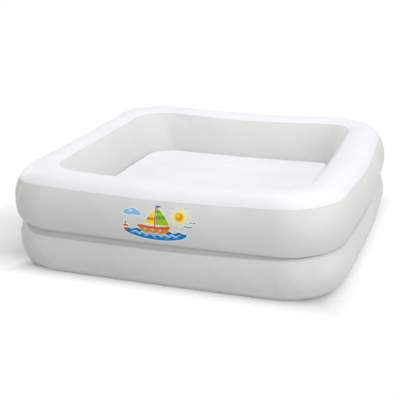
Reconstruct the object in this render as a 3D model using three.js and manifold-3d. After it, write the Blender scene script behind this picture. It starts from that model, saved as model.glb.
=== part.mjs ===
// Inflatable baby bathtub of welded PVC film: two square rings with round corners, one on the other,
// and an inflated floor held flat by tie webs. Each air chamber has its own valve, and a drain runs
// down through the floor. Millimetres, +Z up, +X to the right, the tub's front towards -Y.

import * as THREE from 'three';
import { mergeVertices } from 'three/addons/utils/BufferGeometryUtils.js';
import Module from 'manifold-3d';

const wasm = await Module();
wasm.setup();

// Film and welds
const film = 0.3;
const weldGap = 0.3;
const weldMargin = 5;
const clearance = 0.3;
const overrun = 2;

// Plan of the rings: half the side from corner to corner, and the width of their top. The lists give, in
// the order front, right, back, left, the radius of the corner after each side, which no blown-up tub has
// quite even, and how far the side bows out between its corners. The lower ring stands a little aside.
const ringHalf = 417;
const ringWidth = 92;
const ringCorners = [144, 143, 141, 124];
const innerCorners = [96, 80, 94, 92];
const basinCorners = [62, 38, 74, 70];
const upperBows = [9, 16, 1, 0];
const lowerBows = [3, 12, 1, 3];
const innerBows = [3, 4, -9, 7];
const lowerShiftRight = 5;
const lowerShiftBack = 3;

// Section of the rings: how far out from the plan's line, and how high
const creaseInset = 13.5;
const creaseHeight = 224.5;
const crownInset = 62;
const ringHeight = 251.5;
const innerSeamHeight = 240.5;
const upperBulge = 2.3;
const upperBulgeHeight = 166;
const grooveInset = 24;
const grooveHeight = 112;
const grooveLipRadius = 12;
const wallRound = 110;
const lowerBulge = 0.3;
const lowerBulgeHeight = 64;
const footTurnInset = 8;
const footTurnHeight = 24;
const footRoundInset = 15;
const footRoundHeight = 9;
const footInset = 29;
const footFlange = 3;
const basinInset = 136;
const basinSeamHeight = 131;
const innerWallBelly = 10;
const hiddenWallFootInset = 129;

// The rings stand highest at the corners and sag between them
const sideSag = 5.5;
const sagStartHeight = 170;
const sagFullHeight = 230;
const bowChangeLow = 104;
const bowChangeHigh = 120;

// Floor: its crown at the edge, and the tie webs under it
const floorHeight = 136;
const floorShoulderInset = 4;
const floorShoulderDrop = 3;
const floorCrownInset = 14;
const floorCrownDrop = 0.8;
const floorFlatInset = 30;
const webCount = 3;
const webEndGap = 40;

// Fineness of the film's mesh
const straightSteps = 8;
const cornerSteps = 6;
const wallSteps = 3;
const lipSteps = 2;
const crownSteps = 7;
const footSteps = 3;
const innerWallSteps = 5;
const roundSteps = 24;

// Inflation valve, along its own axis: 0 is the film and positive is outwards
const valveFlangeRadius = 15;
const valveFlangeTop = 0.5;
const valveFlangeDepth = 1.6;
const valveFlangeBevel = 0.5;
const valveMouthRadius = 11.6;
const bootWall = 0.8;
const bootDepth = 13;
const stemRadius = 6;
const stemBore = 3.6;
const stemTop = -0.4;
const stemDepth = 14;
const stemSeatRadius = 7.5;
const stemSeatThickness = 1.2;
const flapRadius = 4.8;
const flapThickness = 0.8;
const flapHingeReach = 5.4;
const flapHingeWidth = 3.4;
const plugCapRadius = 7.2;
const plugCapThickness = 1.6;
const plugPinLength = 5;
const plugPinTaper = 1.1;
const plugStrapWidth = 5;
const plugStrapThickness = 0.8;
const plugStrapEnd = 0.4;
const plugHingeReach = 8.9;
const plugTabLength = 1.8;
const plugTabWidth = 4;

// Drain
const drainBore = 14;
const drainWall = 3;
const drainFootRadius = 26;
const drainFootThickness = 1.2;
const drainRimRadius = 25;
const drainRimThickness = 1.5;
const drainPlugCapRadius = 19;
const drainPlugCapThickness = 2;
const drainPlugPinLength = 10;
const drainPlugPinTaper = 1.5;
const drainStrapWidth = 12;
const drainStrapThickness = 1;
const drainStrapEnd = 0.5;
const drainHingeReach = 22.5;
const drainTabLength = 5;
const drainTabWidth = 12;

// Places of the valves and the drain: how far the two on the floor are from its left and its right edge
const wallValveAlongShare = 0.25;
const floorValveFromEdge = 161;
const drainFromEdge = 131;

// Colours
const white = { color: 0xf1f1f3, roughness: 0.38, metalness: 0 };
const clearWhite = { color: 0xe9edf0, roughness: 0.3, metalness: 0 };

// Side numbers of the plan, counted round from the front
const backSide = 2;
const sideCount = 4;

const upperOutline = { half: ringHalf, corners: ringCorners, bows: upperBows };
const lowerOutline = { half: ringHalf, corners: ringCorners, bows: lowerBows };
const innerOutline = { half: ringHalf - ringWidth, corners: innerCorners, bows: innerBows };
const basinOutline = { half: ringHalf - basinInset, corners: basinCorners, bows: innerBows };
const lowerShift = new THREE.Vector2(lowerShiftRight, lowerShiftBack);

// The webs part the floor into even lanes, and its valve and the drain stand in the front lane
const floorHalf = ringHalf - basinInset;
const webPitch = (2 * floorHalf) / (webCount + 1);
const frontLane = floorHalf - webPitch / 2;
const floorValveX = floorValveFromEdge - floorHalf;
const drainX = floorHalf - drainFromEdge;

// Points of a section are (out, z): out is measured outwards from the plan's line
const section = (out, z) => new THREE.Vector2(out, z);

// One place round the plan: a share along a straight side, or a share of the corner's turn after it
function ringStations() {
  const stations = [];
  for (let side = 0; side < sideCount; side++) {
    for (let step = 0; step < straightSteps; step++) {
      stations.push({ side, alongShare: (2 * step) / straightSteps - 1, turnShare: 0 });
    }
    for (let step = 0; step < cornerSteps; step++) {
      stations.push({ side, alongShare: 1, turnShare: step / cornerSteps });
    }
  }
  return stations;
}
const stations = ringStations();

// A point of a square with round corners whose sides bow out most at their middles.
// middleShare is 1 at the middle of a side and 0 at the middle of a corner.
function outlinePoint(outline, station) {
  const cornerAfter = outline.corners[station.side];
  const cornerBefore = outline.corners[(station.side + sideCount - 1) % sideCount];
  const straightEnd = outline.half - cornerAfter;
  const position = THREE.MathUtils.lerp(cornerBefore - outline.half, straightEnd, (1 + station.alongShare) / 2);
  const turn = (station.turnShare * Math.PI) / 2;
  const nearTurn = Math.min(turn, Math.PI / 2 - turn);
  const nearCorner = position < 0 ? cornerBefore : cornerAfter;
  const walked = Math.abs(position) + nearCorner * nearTurn;
  const reach = outline.half - nearCorner + (nearCorner * Math.PI) / 4;
  const middleShare = (1 + Math.cos((Math.PI * walked) / reach)) / 2;
  const bowSide = station.turnShare > 0.5 ? (station.side + 1) % sideCount : station.side;
  const bow = outline.bows[bowSide] * middleShare;
  const point = new THREE.Vector2(
    position + (cornerAfter + bow) * Math.sin(turn),
    -straightEnd - (cornerAfter + bow) * Math.cos(turn),
  );
  point.rotateAround(new THREE.Vector2(), (station.side * Math.PI) / 2);
  return { point, middleShare };
}

// The point at a section's (out, z), at one station round the rings
function ringPoint(station, out, z) {
  const upper = outlinePoint(upperOutline, station);
  const lower = outlinePoint(lowerOutline, station);
  const inner = outlinePoint(innerOutline, station);
  const basin = outlinePoint(basinOutline, station);
  const upperShare = THREE.MathUtils.smoothstep(z, bowChangeLow, bowChangeHigh);
  const pastInner = Math.max((-out - ringWidth) / (basinInset - ringWidth), 0);
  const plan = lower.point.add(lowerShift).lerp(upper.point, upperShare);
  plan.lerp(inner.point, Math.min(-out / ringWidth, 1));
  plan.add(basin.point.sub(inner.point).multiplyScalar(pastInner));
  const sagShare = THREE.MathUtils.clamp((z - sagStartHeight) / (sagFullHeight - sagStartHeight), 0, 1);
  return new THREE.Vector3(plan.x, plan.y, z - sideSag * upper.middleShare * sagShare);
}

// Points on the circle through three points of a section, from the first to the last
function arc(start, middle, end, steps) {
  const first = middle.clone().sub(start);
  const second = end.clone().sub(start);
  const cross = 2 * first.cross(second);
  const centre = new THREE.Vector2(
    (second.y * first.lengthSq() - first.y * second.lengthSq()) / cross,
    (first.x * second.lengthSq() - second.x * first.lengthSq()) / cross,
  ).add(start);
  const radius = centre.distanceTo(start);
  const angle = (point) => Math.atan2(point.y - centre.y, point.x - centre.x);
  const from = angle(start);
  const full = 2 * Math.PI;
  const counterClockwise = (angle(end) - from + full) % full;
  const sweep = cross > 0 ? counterClockwise : counterClockwise - full;
  const points = [];
  for (let step = 0; step <= steps; step++) {
    const turned = from + (sweep * step) / steps;
    points.push(section(centre.x + radius * Math.cos(turned), centre.y + radius * Math.sin(turned)));
  }
  return points;
}

// Points on a circle, the short way round from one point to another
function roundFrom(centre, start, end, steps) {
  const from = start.clone().sub(centre);
  const sweep = Math.atan2(from.cross(end.clone().sub(centre)), from.dot(end.clone().sub(centre)));
  const points = [];
  for (let step = 0; step <= steps; step++) {
    points.push(start.clone().rotateAround(centre, (sweep * step) / steps));
  }
  return points;
}

// A ring's outer face from its far end over its outermost point to the groove. Past that point the wall
// rounds in to a tight lip, and the lip runs level to the seam.
function bulgedFace(end, bulge, seamEnd) {
  const inwards = bulge.x - end.x;
  const away = bulge.y - end.y;
  const endRound = (inwards * inwards + away * away) / (2 * inwards);
  const endCentre = section(bulge.x - endRound, bulge.y);
  const lipHeight = seamEnd.y - Math.sign(seamEnd.y - bulge.y) * grooveLipRadius;
  const wallCentre = section(bulge.x - wallRound, bulge.y);
  const centresApart = wallRound - grooveLipRadius;
  const lipCentre = section(wallCentre.x + Math.sqrt(centresApart ** 2 - (lipHeight - bulge.y) ** 2), lipHeight);
  const meeting = lipCentre.clone().sub(wallCentre).setLength(wallRound).add(wallCentre);
  const lipEnd = section(lipCentre.x, seamEnd.y);
  return [
    ...roundFrom(endCentre, end, bulge, wallSteps),
    ...roundFrom(wallCentre, bulge, meeting, wallSteps).slice(1),
    ...roundFrom(lipCentre, meeting, lipEnd, lipSteps).slice(1),
    seamEnd,
  ];
}

// The closed outline of a line of a section that has been given a thickness, with mitred bends
function thicken(line, thickness) {
  const sides = [[], []];
  line.forEach((point, index) => {
    const before = line[Math.max(index - 1, 0)];
    const after = line[Math.min(index + 1, line.length - 1)];
    const into = (index > 0 ? point.clone().sub(before) : after.clone().sub(point)).normalize();
    const onwards = (index < line.length - 1 ? after.clone().sub(point) : into.clone()).normalize();
    const normal = section(-into.y - onwards.y, into.x + onwards.x).normalize();
    const mitre = thickness / 2 / (normal.y * into.x - normal.x * into.y);
    sides[0].push(point.clone().addScaledVector(normal, mitre));
    sides[1].push(point.clone().addScaledVector(normal, -mitre));
  });
  return [...sides[0], ...sides[1].reverse()];
}

// A closed geometry from rows of points, each row a ring round the tub. The last row joins the first,
// or, for a sheet, the first and the last row are closed by a flat middle.
function closeRows(rows, isSheet) {
  const positions = rows.flat().flatMap((point) => [point.x, point.y, point.z]);
  const count = stations.length;
  const indices = [];
  const rowPairs = isSheet ? rows.length - 1 : rows.length;
  for (let row = 0; row < rowPairs; row++) {
    const nextRow = (row + 1) % rows.length;
    for (let place = 0; place < count; place++) {
      const nextPlace = (place + 1) % count;
      const corners = [
        row * count + place, row * count + nextPlace, nextRow * count + nextPlace, nextRow * count + place,
      ];
      indices.push(corners[0], corners[1], corners[2], corners[0], corners[2], corners[3]);
    }
  }
  if (isSheet) {
    const lastRow = rows.length - 1;
    positions.push(0, 0, rows[0][0].z, 0, 0, rows[lastRow][0].z);
    const firstMiddle = rows.length * count;
    for (let place = 0; place < count; place++) {
      const nextPlace = (place + 1) % count;
      indices.push(firstMiddle, nextPlace, place);
      indices.push(firstMiddle + 1, lastRow * count + place, lastRow * count + nextPlace);
    }
  }
  const geometry = new THREE.BufferGeometry();
  geometry.setAttribute('position', new THREE.Float32BufferAttribute(positions, 3));
  geometry.setIndex(indices);
  return geometry;
}

// A film whose section is a line, swept round the tub: a closed ring, or a sheet with a flat middle
function filmRound(line, isSheet = false) {
  const outline = thicken(line, film);
  if (THREE.ShapeUtils.isClockWise(outline)) outline.reverse();
  const rows = outline.map((point) => stations.map((station) => ringPoint(station, point.x, point.y)));
  return closeRows(rows, isSheet);
}

// Cuts and joins
function toSolid(geometry) {
  const bare = new THREE.BufferGeometry();
  bare.setAttribute('position', geometry.getAttribute('position').clone());
  if (geometry.index) bare.setIndex(geometry.index.clone());
  const merged = mergeVertices(bare);
  return new wasm.Manifold(new wasm.Mesh({
    numProp: 3,
    vertProperties: new Float32Array(merged.getAttribute('position').array),
    triVerts: new Uint32Array(merged.index.array),
  }));
}

function toGeometry(solid) {
  const mesh = solid.getMesh();
  const geometry = new THREE.BufferGeometry();
  geometry.setAttribute('position', new THREE.BufferAttribute(new Float32Array(mesh.vertProperties), 3));
  geometry.setIndex(new THREE.BufferAttribute(new Uint32Array(mesh.triVerts), 1));
  return geometry;
}

const join = (first, second) => toGeometry(toSolid(first).add(toSolid(second)));
const cut = (body, tool) => toGeometry(toSolid(body).subtract(toSolid(tool)));

// A solid of revolution about +Z from the closed outline of (radius, height)
function turned(outline) {
  const points = outline.map((point) => section(point.x, point.y));
  if (THREE.ShapeUtils.isClockWise(points)) points.reverse();
  points.push(points[0].clone());
  return new THREE.LatheGeometry(points, roundSteps).rotateX(Math.PI / 2);
}

// A block between two corners
function block(low, high) {
  const size = high.clone().sub(low);
  const geometry = new THREE.BoxGeometry(size.x, size.y, size.z);
  return geometry.translate(low.x + size.x / 2, low.y + size.y / 2, low.z + size.z / 2);
}

// A round cutter along +Z, from one height to another
function drill(radius, low, high) {
  const height = high - low;
  const geometry = new THREE.CylinderGeometry(radius, radius, height, roundSteps);
  return geometry.rotateX(Math.PI / 2).translate(0, 0, low + height / 2);
}

const tub = new THREE.Group();

function addPiece(parent, name, geometry, look) {
  const mesh = new THREE.Mesh(geometry, new THREE.MeshStandardMaterial(look));
  mesh.name = name;
  parent.add(mesh);
  return mesh;
}

// Seams of the section. At a seam two films turn in side by side and are welded along their margins.
const outerSeam = section(-creaseInset, creaseHeight);
const innerSeam = section(-ringWidth, innerSeamHeight);
const grooveSeam = section(-grooveInset, grooveHeight);
const basinSeam = section(-basinInset, basinSeamHeight);
const crown = section(-crownInset, ringHeight);
const seamShift = (film + weldGap) / 2;
const stackShift = film + weldGap;
const dividerRun = basinSeam.clone().sub(grooveSeam).normalize();
const dividerUp = section(dividerRun.y, -dividerRun.x);

const stepFrom = (point, direction, length) => point.clone().addScaledVector(direction, length);

// A film's end at a seam that turns inwards: onSide points along the surface, towards the film
function turnedIn(seam, onSide, inwards) {
  const surfaceEnd = stepFrom(seam, onSide, seamShift);
  return [surfaceEnd, stepFrom(surfaceEnd, inwards, weldMargin)];
}

// The surface's run along the top seams, from outside to inside, and the way in from there
const outerSeamRun = crown.clone().sub(grooveSeam).normalize();
const outerSeamIn = section(-outerSeamRun.y, outerSeamRun.x);
const innerSeamRun = section(innerSeam.x - crown.x, basinSeam.y - innerSeam.y).normalize();
const innerSeamIn = section(-innerSeamRun.y, innerSeamRun.x);

function topSheet() {
  const [outerEnd, outerMargin] = turnedIn(outerSeam, outerSeamRun, outerSeamIn);
  const [innerEnd, innerMargin] = turnedIn(innerSeam, innerSeamRun.clone().negate(), innerSeamIn);
  return filmRound([outerMargin, ...arc(outerEnd, crown, innerEnd, crownSteps), innerMargin]);
}

function upperOuterWall() {
  const [topEnd, topMargin] = turnedIn(outerSeam, outerSeamRun.clone().negate(), outerSeamIn);
  const bulge = section(upperBulge, upperBulgeHeight);
  const bottomEnd = stepFrom(grooveSeam, dividerUp, stackShift);
  const bottomMargin = stepFrom(bottomEnd, dividerRun, weldMargin);
  return filmRound([topMargin, ...bulgedFace(topEnd, bulge, bottomEnd), bottomMargin]);
}

function upperInnerWall() {
  const [topEnd, topMargin] = turnedIn(innerSeam, innerSeamRun, innerSeamIn);
  const bottomEnd = stepFrom(basinSeam, dividerUp, stackShift);
  const bottomMargin = stepFrom(bottomEnd, dividerRun, -weldMargin);
  const along = bottomEnd.clone().sub(topEnd).normalize();
  const middle = topEnd.clone().add(bottomEnd).multiplyScalar(1 / 2);
  const belly = stepFrom(middle, section(along.y, -along.x), innerWallBelly);
  return filmRound([topMargin, ...arc(topEnd, belly, bottomEnd, innerWallSteps), bottomMargin]);
}

function lowerOuterWall() {
  const topEnd = stepFrom(grooveSeam, dividerUp, -stackShift);
  const topMargin = stepFrom(topEnd, dividerRun, weldMargin);
  const bulge = section(lowerBulge, lowerBulgeHeight);
  const footTurn = section(-footTurnInset, footTurnHeight);
  const footRound = section(-footRoundInset, footRoundHeight);
  const foot = section(-footInset, marginHeight);
  const footMargin = section(-footInset - weldMargin, marginHeight);
  const bend = arc(footTurn, footRound, foot, footSteps).slice(1);
  return filmRound([topMargin, ...bulgedFace(footTurn, bulge, topEnd).reverse(), ...bend, footMargin]);
}

// Height of a weld margin that lies on the base sheet
const marginHeight = film / 2 + stackShift;

function lowerInnerWall() {
  const topEnd = stepFrom(basinSeam, dividerUp, -stackShift);
  const topMargin = stepFrom(topEnd, dividerRun, -weldMargin);
  const foot = section(-hiddenWallFootInset, marginHeight);
  const footMargin = section(-hiddenWallFootInset + weldMargin, marginHeight);
  return filmRound([topMargin, topEnd, foot, footMargin]);
}

// The floor's edge is welded to the hidden wall, and its film rolls over from there to the flat middle
const floorMiddleHeight = floorHeight - film / 2;

function floorTopSheet() {
  const edge = stepFrom(basinSeam, dividerUp, -stackShift);
  const wallRun = section(-hiddenWallFootInset, marginHeight).sub(edge).normalize();
  const edgeTop = section(edge.x - stackShift, edge.y);
  const line = [
    section(edge.x - floorFlatInset, floorMiddleHeight),
    section(edge.x - floorCrownInset, floorMiddleHeight - floorCrownDrop),
    section(edge.x - floorShoulderInset, floorMiddleHeight - floorShoulderDrop),
    edgeTop,
    stepFrom(edgeTop, wallRun, weldMargin),
  ];
  const sheet = filmRound(line, true);
  const valveHole = drill(valveFlangeRadius + clearance, floorHeight - overrun, floorHeight + overrun);
  const drainHole = drill(drainBore + drainWall + clearance, floorHeight - overrun, floorHeight + overrun);
  const valveCut = cut(sheet, valveHole.translate(floorValveX, -frontLane, 0));
  return cut(valveCut, drainHole.translate(drainX, -frontLane, 0));
}

function baseSheet() {
  const edgePoints = stations.map((station) => {
    const point = ringPoint(station, footFlange - footInset, 0);
    return new THREE.Vector2(point.x, point.y);
  });
  const outline = new THREE.Shape(edgePoints);
  const hole = new THREE.Path().absarc(drainX, -frontLane, drainBore, 0, 2 * Math.PI, true);
  outline.holes.push(hole);
  const curveSegments = roundSteps / 2;
  return new THREE.ExtrudeGeometry(outline, { depth: film, bevelEnabled: false, curveSegments });
}

// A tie strip from left to right under the floor, with a weld margin along its top and its bottom edge
function floorWeb() {
  const bottom = marginHeight;
  const top = floorMiddleHeight - stackShift;
  const line = [
    new THREE.Vector2(weldMargin, bottom),
    new THREE.Vector2(0, bottom),
    new THREE.Vector2(0, top),
    new THREE.Vector2(weldMargin, top),
  ];
  const length = 2 * (floorHalf - webEndGap);
  const strip = new THREE.ExtrudeGeometry(new THREE.Shape(thicken(line, film)), {
    depth: length, bevelEnabled: false,
  });
  const alongX = new THREE.Matrix4().makeBasis(
    new THREE.Vector3(0, 1, 0), new THREE.Vector3(0, 0, 1), new THREE.Vector3(1, 0, 0),
  );
  return strip.applyMatrix4(alongX).translate(-length / 2, 0, 0);
}

// The place of a wall valve: the film's outermost line on the back, with the valve's axis along +Y
// and its strap hanging below
function wallValveFrame(bulge, height) {
  const station = { side: backSide, alongShare: wallValveAlongShare, turnShare: 0 };
  const place = ringPoint(station, bulge, height);
  const frame = new THREE.Matrix4().makeBasis(
    new THREE.Vector3(-1, 0, 0), new THREE.Vector3(0, 0, 1), new THREE.Vector3(0, 1, 0),
  );
  return frame.setPosition(place);
}

// The hole that lets a valve's flange into a film
function holeFor(frame) {
  return drill(valveFlangeRadius + clearance, -bootDepth, bootDepth).applyMatrix4(frame);
}

// Valve pieces, each in the valve's own frame
function valveFlange() {
  return turned([
    section(valveMouthRadius, -valveFlangeDepth),
    section(valveFlangeRadius, -valveFlangeDepth),
    section(valveFlangeRadius, valveFlangeTop - valveFlangeBevel),
    section(valveFlangeRadius - valveFlangeBevel, valveFlangeTop),
    section(valveMouthRadius, valveFlangeTop),
  ]);
}

// Soft cone between the flange's mouth and the stem's root, pushed in as it is when the tub is in use
function valveBoot() {
  const lip = valveMouthRadius - clearance - bootWall / 2;
  const root = stemRadius + clearance + bootWall / 2;
  const fallShares = [0, 0.26, 0.58, 0.85, 1];
  const drawShares = [0, 0.1, 0.4, 0.8, 1];
  const line = fallShares.map((fall, index) => section(
    lip + (root - lip) * drawShares[index], stemTop - bootDepth * fall,
  ));
  return turned(thicken(line, bootWall));
}

function valveStem() {
  const seatBottom = stemTop - stemSeatThickness;
  const tube = turned([
    section(stemBore, -stemDepth),
    section(stemRadius, -stemDepth),
    section(stemRadius, seatBottom),
    section(stemSeatRadius, seatBottom),
    section(stemSeatRadius, stemTop),
    section(stemBore, stemTop),
  ]);
  const tongue = block(
    new THREE.Vector3(-plugStrapWidth / 2, -plugHingeReach - plugStrapEnd, seatBottom),
    new THREE.Vector3(plugStrapWidth / 2, -stemRadius, stemTop),
  );
  return join(tube, tongue);
}

// The flap's own origin is on its hinge line
function valveFlap() {
  const disc = drill(flapRadius, -flapThickness / 2, flapThickness / 2).translate(0, -flapHingeReach, 0);
  const tab = block(
    new THREE.Vector3(-flapHingeWidth / 2, -flapHingeReach + stemBore, -flapThickness / 2),
    new THREE.Vector3(flapHingeWidth / 2, flapThickness / 2, flapThickness / 2),
  );
  return join(disc, tab);
}

// A plug with its strap and lift tab. Its own origin is on the strap's hinge line, and it closes towards +Y.
function strapPlug(size) {
  const underside = -size.strapThickness / 2;
  const pinRadius = size.bore - clearance;
  const capAndPin = turned([
    section(0, underside - size.pinLength),
    section(pinRadius - size.pinTaper, underside - size.pinLength),
    section(pinRadius, underside),
    section(size.capRadius, underside),
    section(size.capRadius, underside + size.capThickness - size.strapThickness / 2),
    section(size.capRadius - size.strapThickness / 2, underside + size.capThickness),
    section(0, underside + size.capThickness),
  ]).translate(0, size.hingeReach, 0);
  const strapLow = new THREE.Vector3(-size.strapWidth / 2, -size.strapEnd, underside);
  const strapHigh = new THREE.Vector3(size.strapWidth / 2, size.hingeReach - size.bore, -underside);
  const tabLow = new THREE.Vector3(-size.tabWidth / 2, size.hingeReach + size.bore, underside);
  const tabEnd = size.hingeReach + size.capRadius + size.tabLength;
  const tabHigh = new THREE.Vector3(size.tabWidth / 2, tabEnd, -underside);
  return join(join(capAndPin, block(strapLow, strapHigh)), block(tabLow, tabHigh));
}

const valvePlugSize = {
  bore: stemBore,
  pinLength: plugPinLength,
  pinTaper: plugPinTaper,
  capRadius: plugCapRadius,
  capThickness: plugCapThickness,
  strapWidth: plugStrapWidth,
  strapThickness: plugStrapThickness,
  strapEnd: plugStrapEnd,
  hingeReach: plugHingeReach,
  tabLength: plugTabLength,
  tabWidth: plugTabWidth,
};

const drainPlugSize = {
  bore: drainBore,
  pinLength: drainPlugPinLength,
  pinTaper: drainPlugPinTaper,
  capRadius: drainPlugCapRadius,
  capThickness: drainPlugCapThickness,
  strapWidth: drainStrapWidth,
  strapThickness: drainStrapThickness,
  strapEnd: drainStrapEnd,
  hingeReach: drainHingeReach,
  tabLength: drainTabLength,
  tabWidth: drainTabWidth,
};

function addValve(chamber, frame) {
  const valve = new THREE.Group();
  valve.applyMatrix4(frame);
  tub.add(valve);
  addPiece(valve, `${chamber}_valve_flange`, valveFlange(), white);
  addPiece(valve, `${chamber}_valve_boot`, valveBoot(), white);
  addPiece(valve, `${chamber}_valve_stem`, valveStem(), clearWhite);
  const flap = addPiece(valve, `${chamber}_valve_check_flap`, valveFlap(), clearWhite);
  flap.position.set(0, flapHingeReach, -stemDepth - clearance - flapThickness / 2);
  const plug = addPiece(valve, `${chamber}_valve_plug`, strapPlug(valvePlugSize), clearWhite);
  plug.position.set(0, -plugHingeReach, stemTop + clearance + plugStrapThickness / 2);
}

// Drain: a tube from the base sheet up to the floor, with its foot on the base and its rim on the floor
const drainRimBottom = floorHeight + clearance;
const drainRimTop = drainRimBottom + drainRimThickness;

function drainSleeve() {
  const footBottom = film + weldGap;
  const footTop = footBottom + drainFootThickness;
  const tubeRadius = drainBore + drainWall;
  return turned([
    section(drainBore, footBottom),
    section(drainFootRadius, footBottom),
    section(drainFootRadius, footTop),
    section(tubeRadius, footTop),
    section(tubeRadius, drainRimBottom),
    section(drainRimRadius, drainRimBottom),
    section(drainRimRadius, drainRimTop),
    section(drainBore, drainRimTop),
  ]);
}

function addDrain() {
  const drain = new THREE.Group();
  drain.position.set(drainX, -frontLane, 0);
  tub.add(drain);
  addPiece(drain, 'drain_sleeve', drainSleeve(), white);
  const plug = addPiece(drain, 'drain_plug', strapPlug(drainPlugSize), clearWhite);
  plug.position.set(0, -drainHingeReach, drainRimTop + clearance + drainStrapThickness / 2);
}

const upperValveFrame = wallValveFrame(upperBulge, upperBulgeHeight);
const lowerValveFrame = wallValveFrame(lowerBulge, lowerBulgeHeight);
const floorValveFrame = new THREE.Matrix4().makeTranslation(floorValveX, -frontLane, floorHeight - film / 2);

addPiece(tub, 'top_sheet', topSheet(), white);
addPiece(tub, 'upper_outer_wall', cut(upperOuterWall(), holeFor(upperValveFrame)), white);
addPiece(tub, 'upper_inner_wall', upperInnerWall(), white);
addPiece(tub, 'divider_sheet', filmRound([grooveSeam, basinSeam]), white);
addPiece(tub, 'lower_outer_wall', cut(lowerOuterWall(), holeFor(lowerValveFrame)), white);
addPiece(tub, 'lower_inner_wall', lowerInnerWall(), white);
addPiece(tub, 'floor_top_sheet', floorTopSheet(), white);
addPiece(tub, 'base_sheet', baseSheet(), white);
for (let web = 0; web < webCount; web++) {
  const strip = addPiece(tub, `floor_web_${web + 1}`, floorWeb(), white);
  strip.position.y = (web - (webCount - 1) / 2) * webPitch;
}
addValve('upper', upperValveFrame);
addValve('lower', lowerValveFrame);
addValve('floor', floorValveFrame);
addDrain();

// The origin is the middle of the outline, on the surface that the tub stands on
tub.updateMatrixWorld(true);
const reach = new THREE.Box3().setFromObject(tub, true);
const middle = reach.getCenter(new THREE.Vector3());
tub.position.set(-middle.x, -middle.y, -reach.min.z);

export default tub;
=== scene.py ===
"""Looks of an inflatable baby bathtub on its fixed frame: welded film panels, valves, drain and a print."""
import math
import bpy
import bmesh
import numpy as np
from mathutils import Matrix, Vector
from mathutils.geometry import delaunay_2d_cdt


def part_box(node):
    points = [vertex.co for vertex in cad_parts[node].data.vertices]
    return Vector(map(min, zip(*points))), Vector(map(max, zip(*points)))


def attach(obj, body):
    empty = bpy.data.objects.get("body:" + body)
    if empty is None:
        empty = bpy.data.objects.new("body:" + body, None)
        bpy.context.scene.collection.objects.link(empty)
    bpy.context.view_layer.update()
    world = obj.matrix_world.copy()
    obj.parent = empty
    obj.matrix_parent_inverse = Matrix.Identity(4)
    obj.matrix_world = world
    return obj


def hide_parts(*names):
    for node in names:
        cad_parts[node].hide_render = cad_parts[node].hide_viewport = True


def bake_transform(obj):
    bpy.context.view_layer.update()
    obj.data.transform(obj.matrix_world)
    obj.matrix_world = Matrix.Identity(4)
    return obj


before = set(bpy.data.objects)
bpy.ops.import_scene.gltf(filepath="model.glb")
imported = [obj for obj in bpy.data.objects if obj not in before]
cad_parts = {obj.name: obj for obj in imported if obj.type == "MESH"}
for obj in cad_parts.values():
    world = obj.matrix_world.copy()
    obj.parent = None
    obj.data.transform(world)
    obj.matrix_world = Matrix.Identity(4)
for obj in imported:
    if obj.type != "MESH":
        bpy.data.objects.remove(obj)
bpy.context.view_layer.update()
MM = 0.001

# Plan of the rings, in the order front, right, back, left, and the corner after each side
RING_HALF = 417 * MM
RING_WIDTH = 92 * MM
OUTER_CORNERS = np.array([144, 143, 141, 124]) * MM
INNER_CORNERS = np.array([96, 80, 94, 92]) * MM
BASIN_CORNERS = np.array([62, 38, 74, 70]) * MM
UPPER_BOWS = np.array([9, 16, 1, 0]) * MM
LOWER_BOWS = np.array([3, 12, 1, 3]) * MM
INNER_BOWS = np.array([3, 4, -9, 7]) * MM
LOWER_SHIFT = (5 * MM, 3 * MM)

# Section: how far out from the plan's line, and how high
CREASE = (-13.5 * MM, 224.5 * MM)
CROWN = (-62 * MM, 251.5 * MM)
INNER_SEAM = (-92 * MM, 240.5 * MM)
UPPER_BULGE = (2.3 * MM, 166 * MM)
GROOVE_SEAM = (-24 * MM, 112 * MM)
LIP_RADIUS = 12 * MM
UPPER_LIP_RADIUS = 3.5 * MM
SEAM_STEP = 1 * MM
WALL_ROUND = 110 * MM
LOWER_BULGE = (0.3 * MM, 64 * MM)
FOOT_TURN = (-8 * MM, 24 * MM)
FOOT_ROUND = (-15 * MM, 9 * MM)
FOOT_INSET = 29 * MM
FOOT_FLANGE = 3 * MM
BASIN_INSET = 136 * MM
BASIN_SEAM_HEIGHT = 131 * MM
INNER_WALL_BELLY = 10 * MM
HIDDEN_WALL_FOOT_INSET = 129 * MM
SIDE_SAG = 5.5 * MM
SAG_HEIGHTS = (170 * MM, 230 * MM)
BOW_CHANGE_HEIGHTS = (104 * MM, 120 * MM)

FILM = 0.3 * MM
STACK = 0.6 * MM
SEAM_GAP = 0.08 * MM
WELD_MARGIN = 5 * MM
SEAM_ROLL = 0.6 * MM

FLOOR_HEIGHT = 136 * MM
WEB_COUNT = 3

DRAIN_FROM_EDGE = 131 * MM
FLOOR_HALF = RING_HALF - BASIN_INSET
WEB_PITCH = 2 * FLOOR_HALF / (WEB_COUNT + 1)
FRONT_LANE = FLOOR_HALF - WEB_PITCH / 2

# Fineness of the film
STATIONS = 920
STRAIGHT_SHARE = 0.6
SIDES = 4


def middle_of(node):
    low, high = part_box(node)
    return (low + high) / 2


# The plan's own centre, found from the drain, which stands at a known place of the plan
drain_middle = middle_of("drain_sleeve")
PLAN_SHIFT = (drain_middle.x - (FLOOR_HALF - DRAIN_FROM_EDGE), drain_middle.y + FRONT_LANE)


def link_object(name, data):
    holder = bpy.data.objects.new(name, data)
    bpy.context.scene.collection.objects.link(holder)
    return holder


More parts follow.
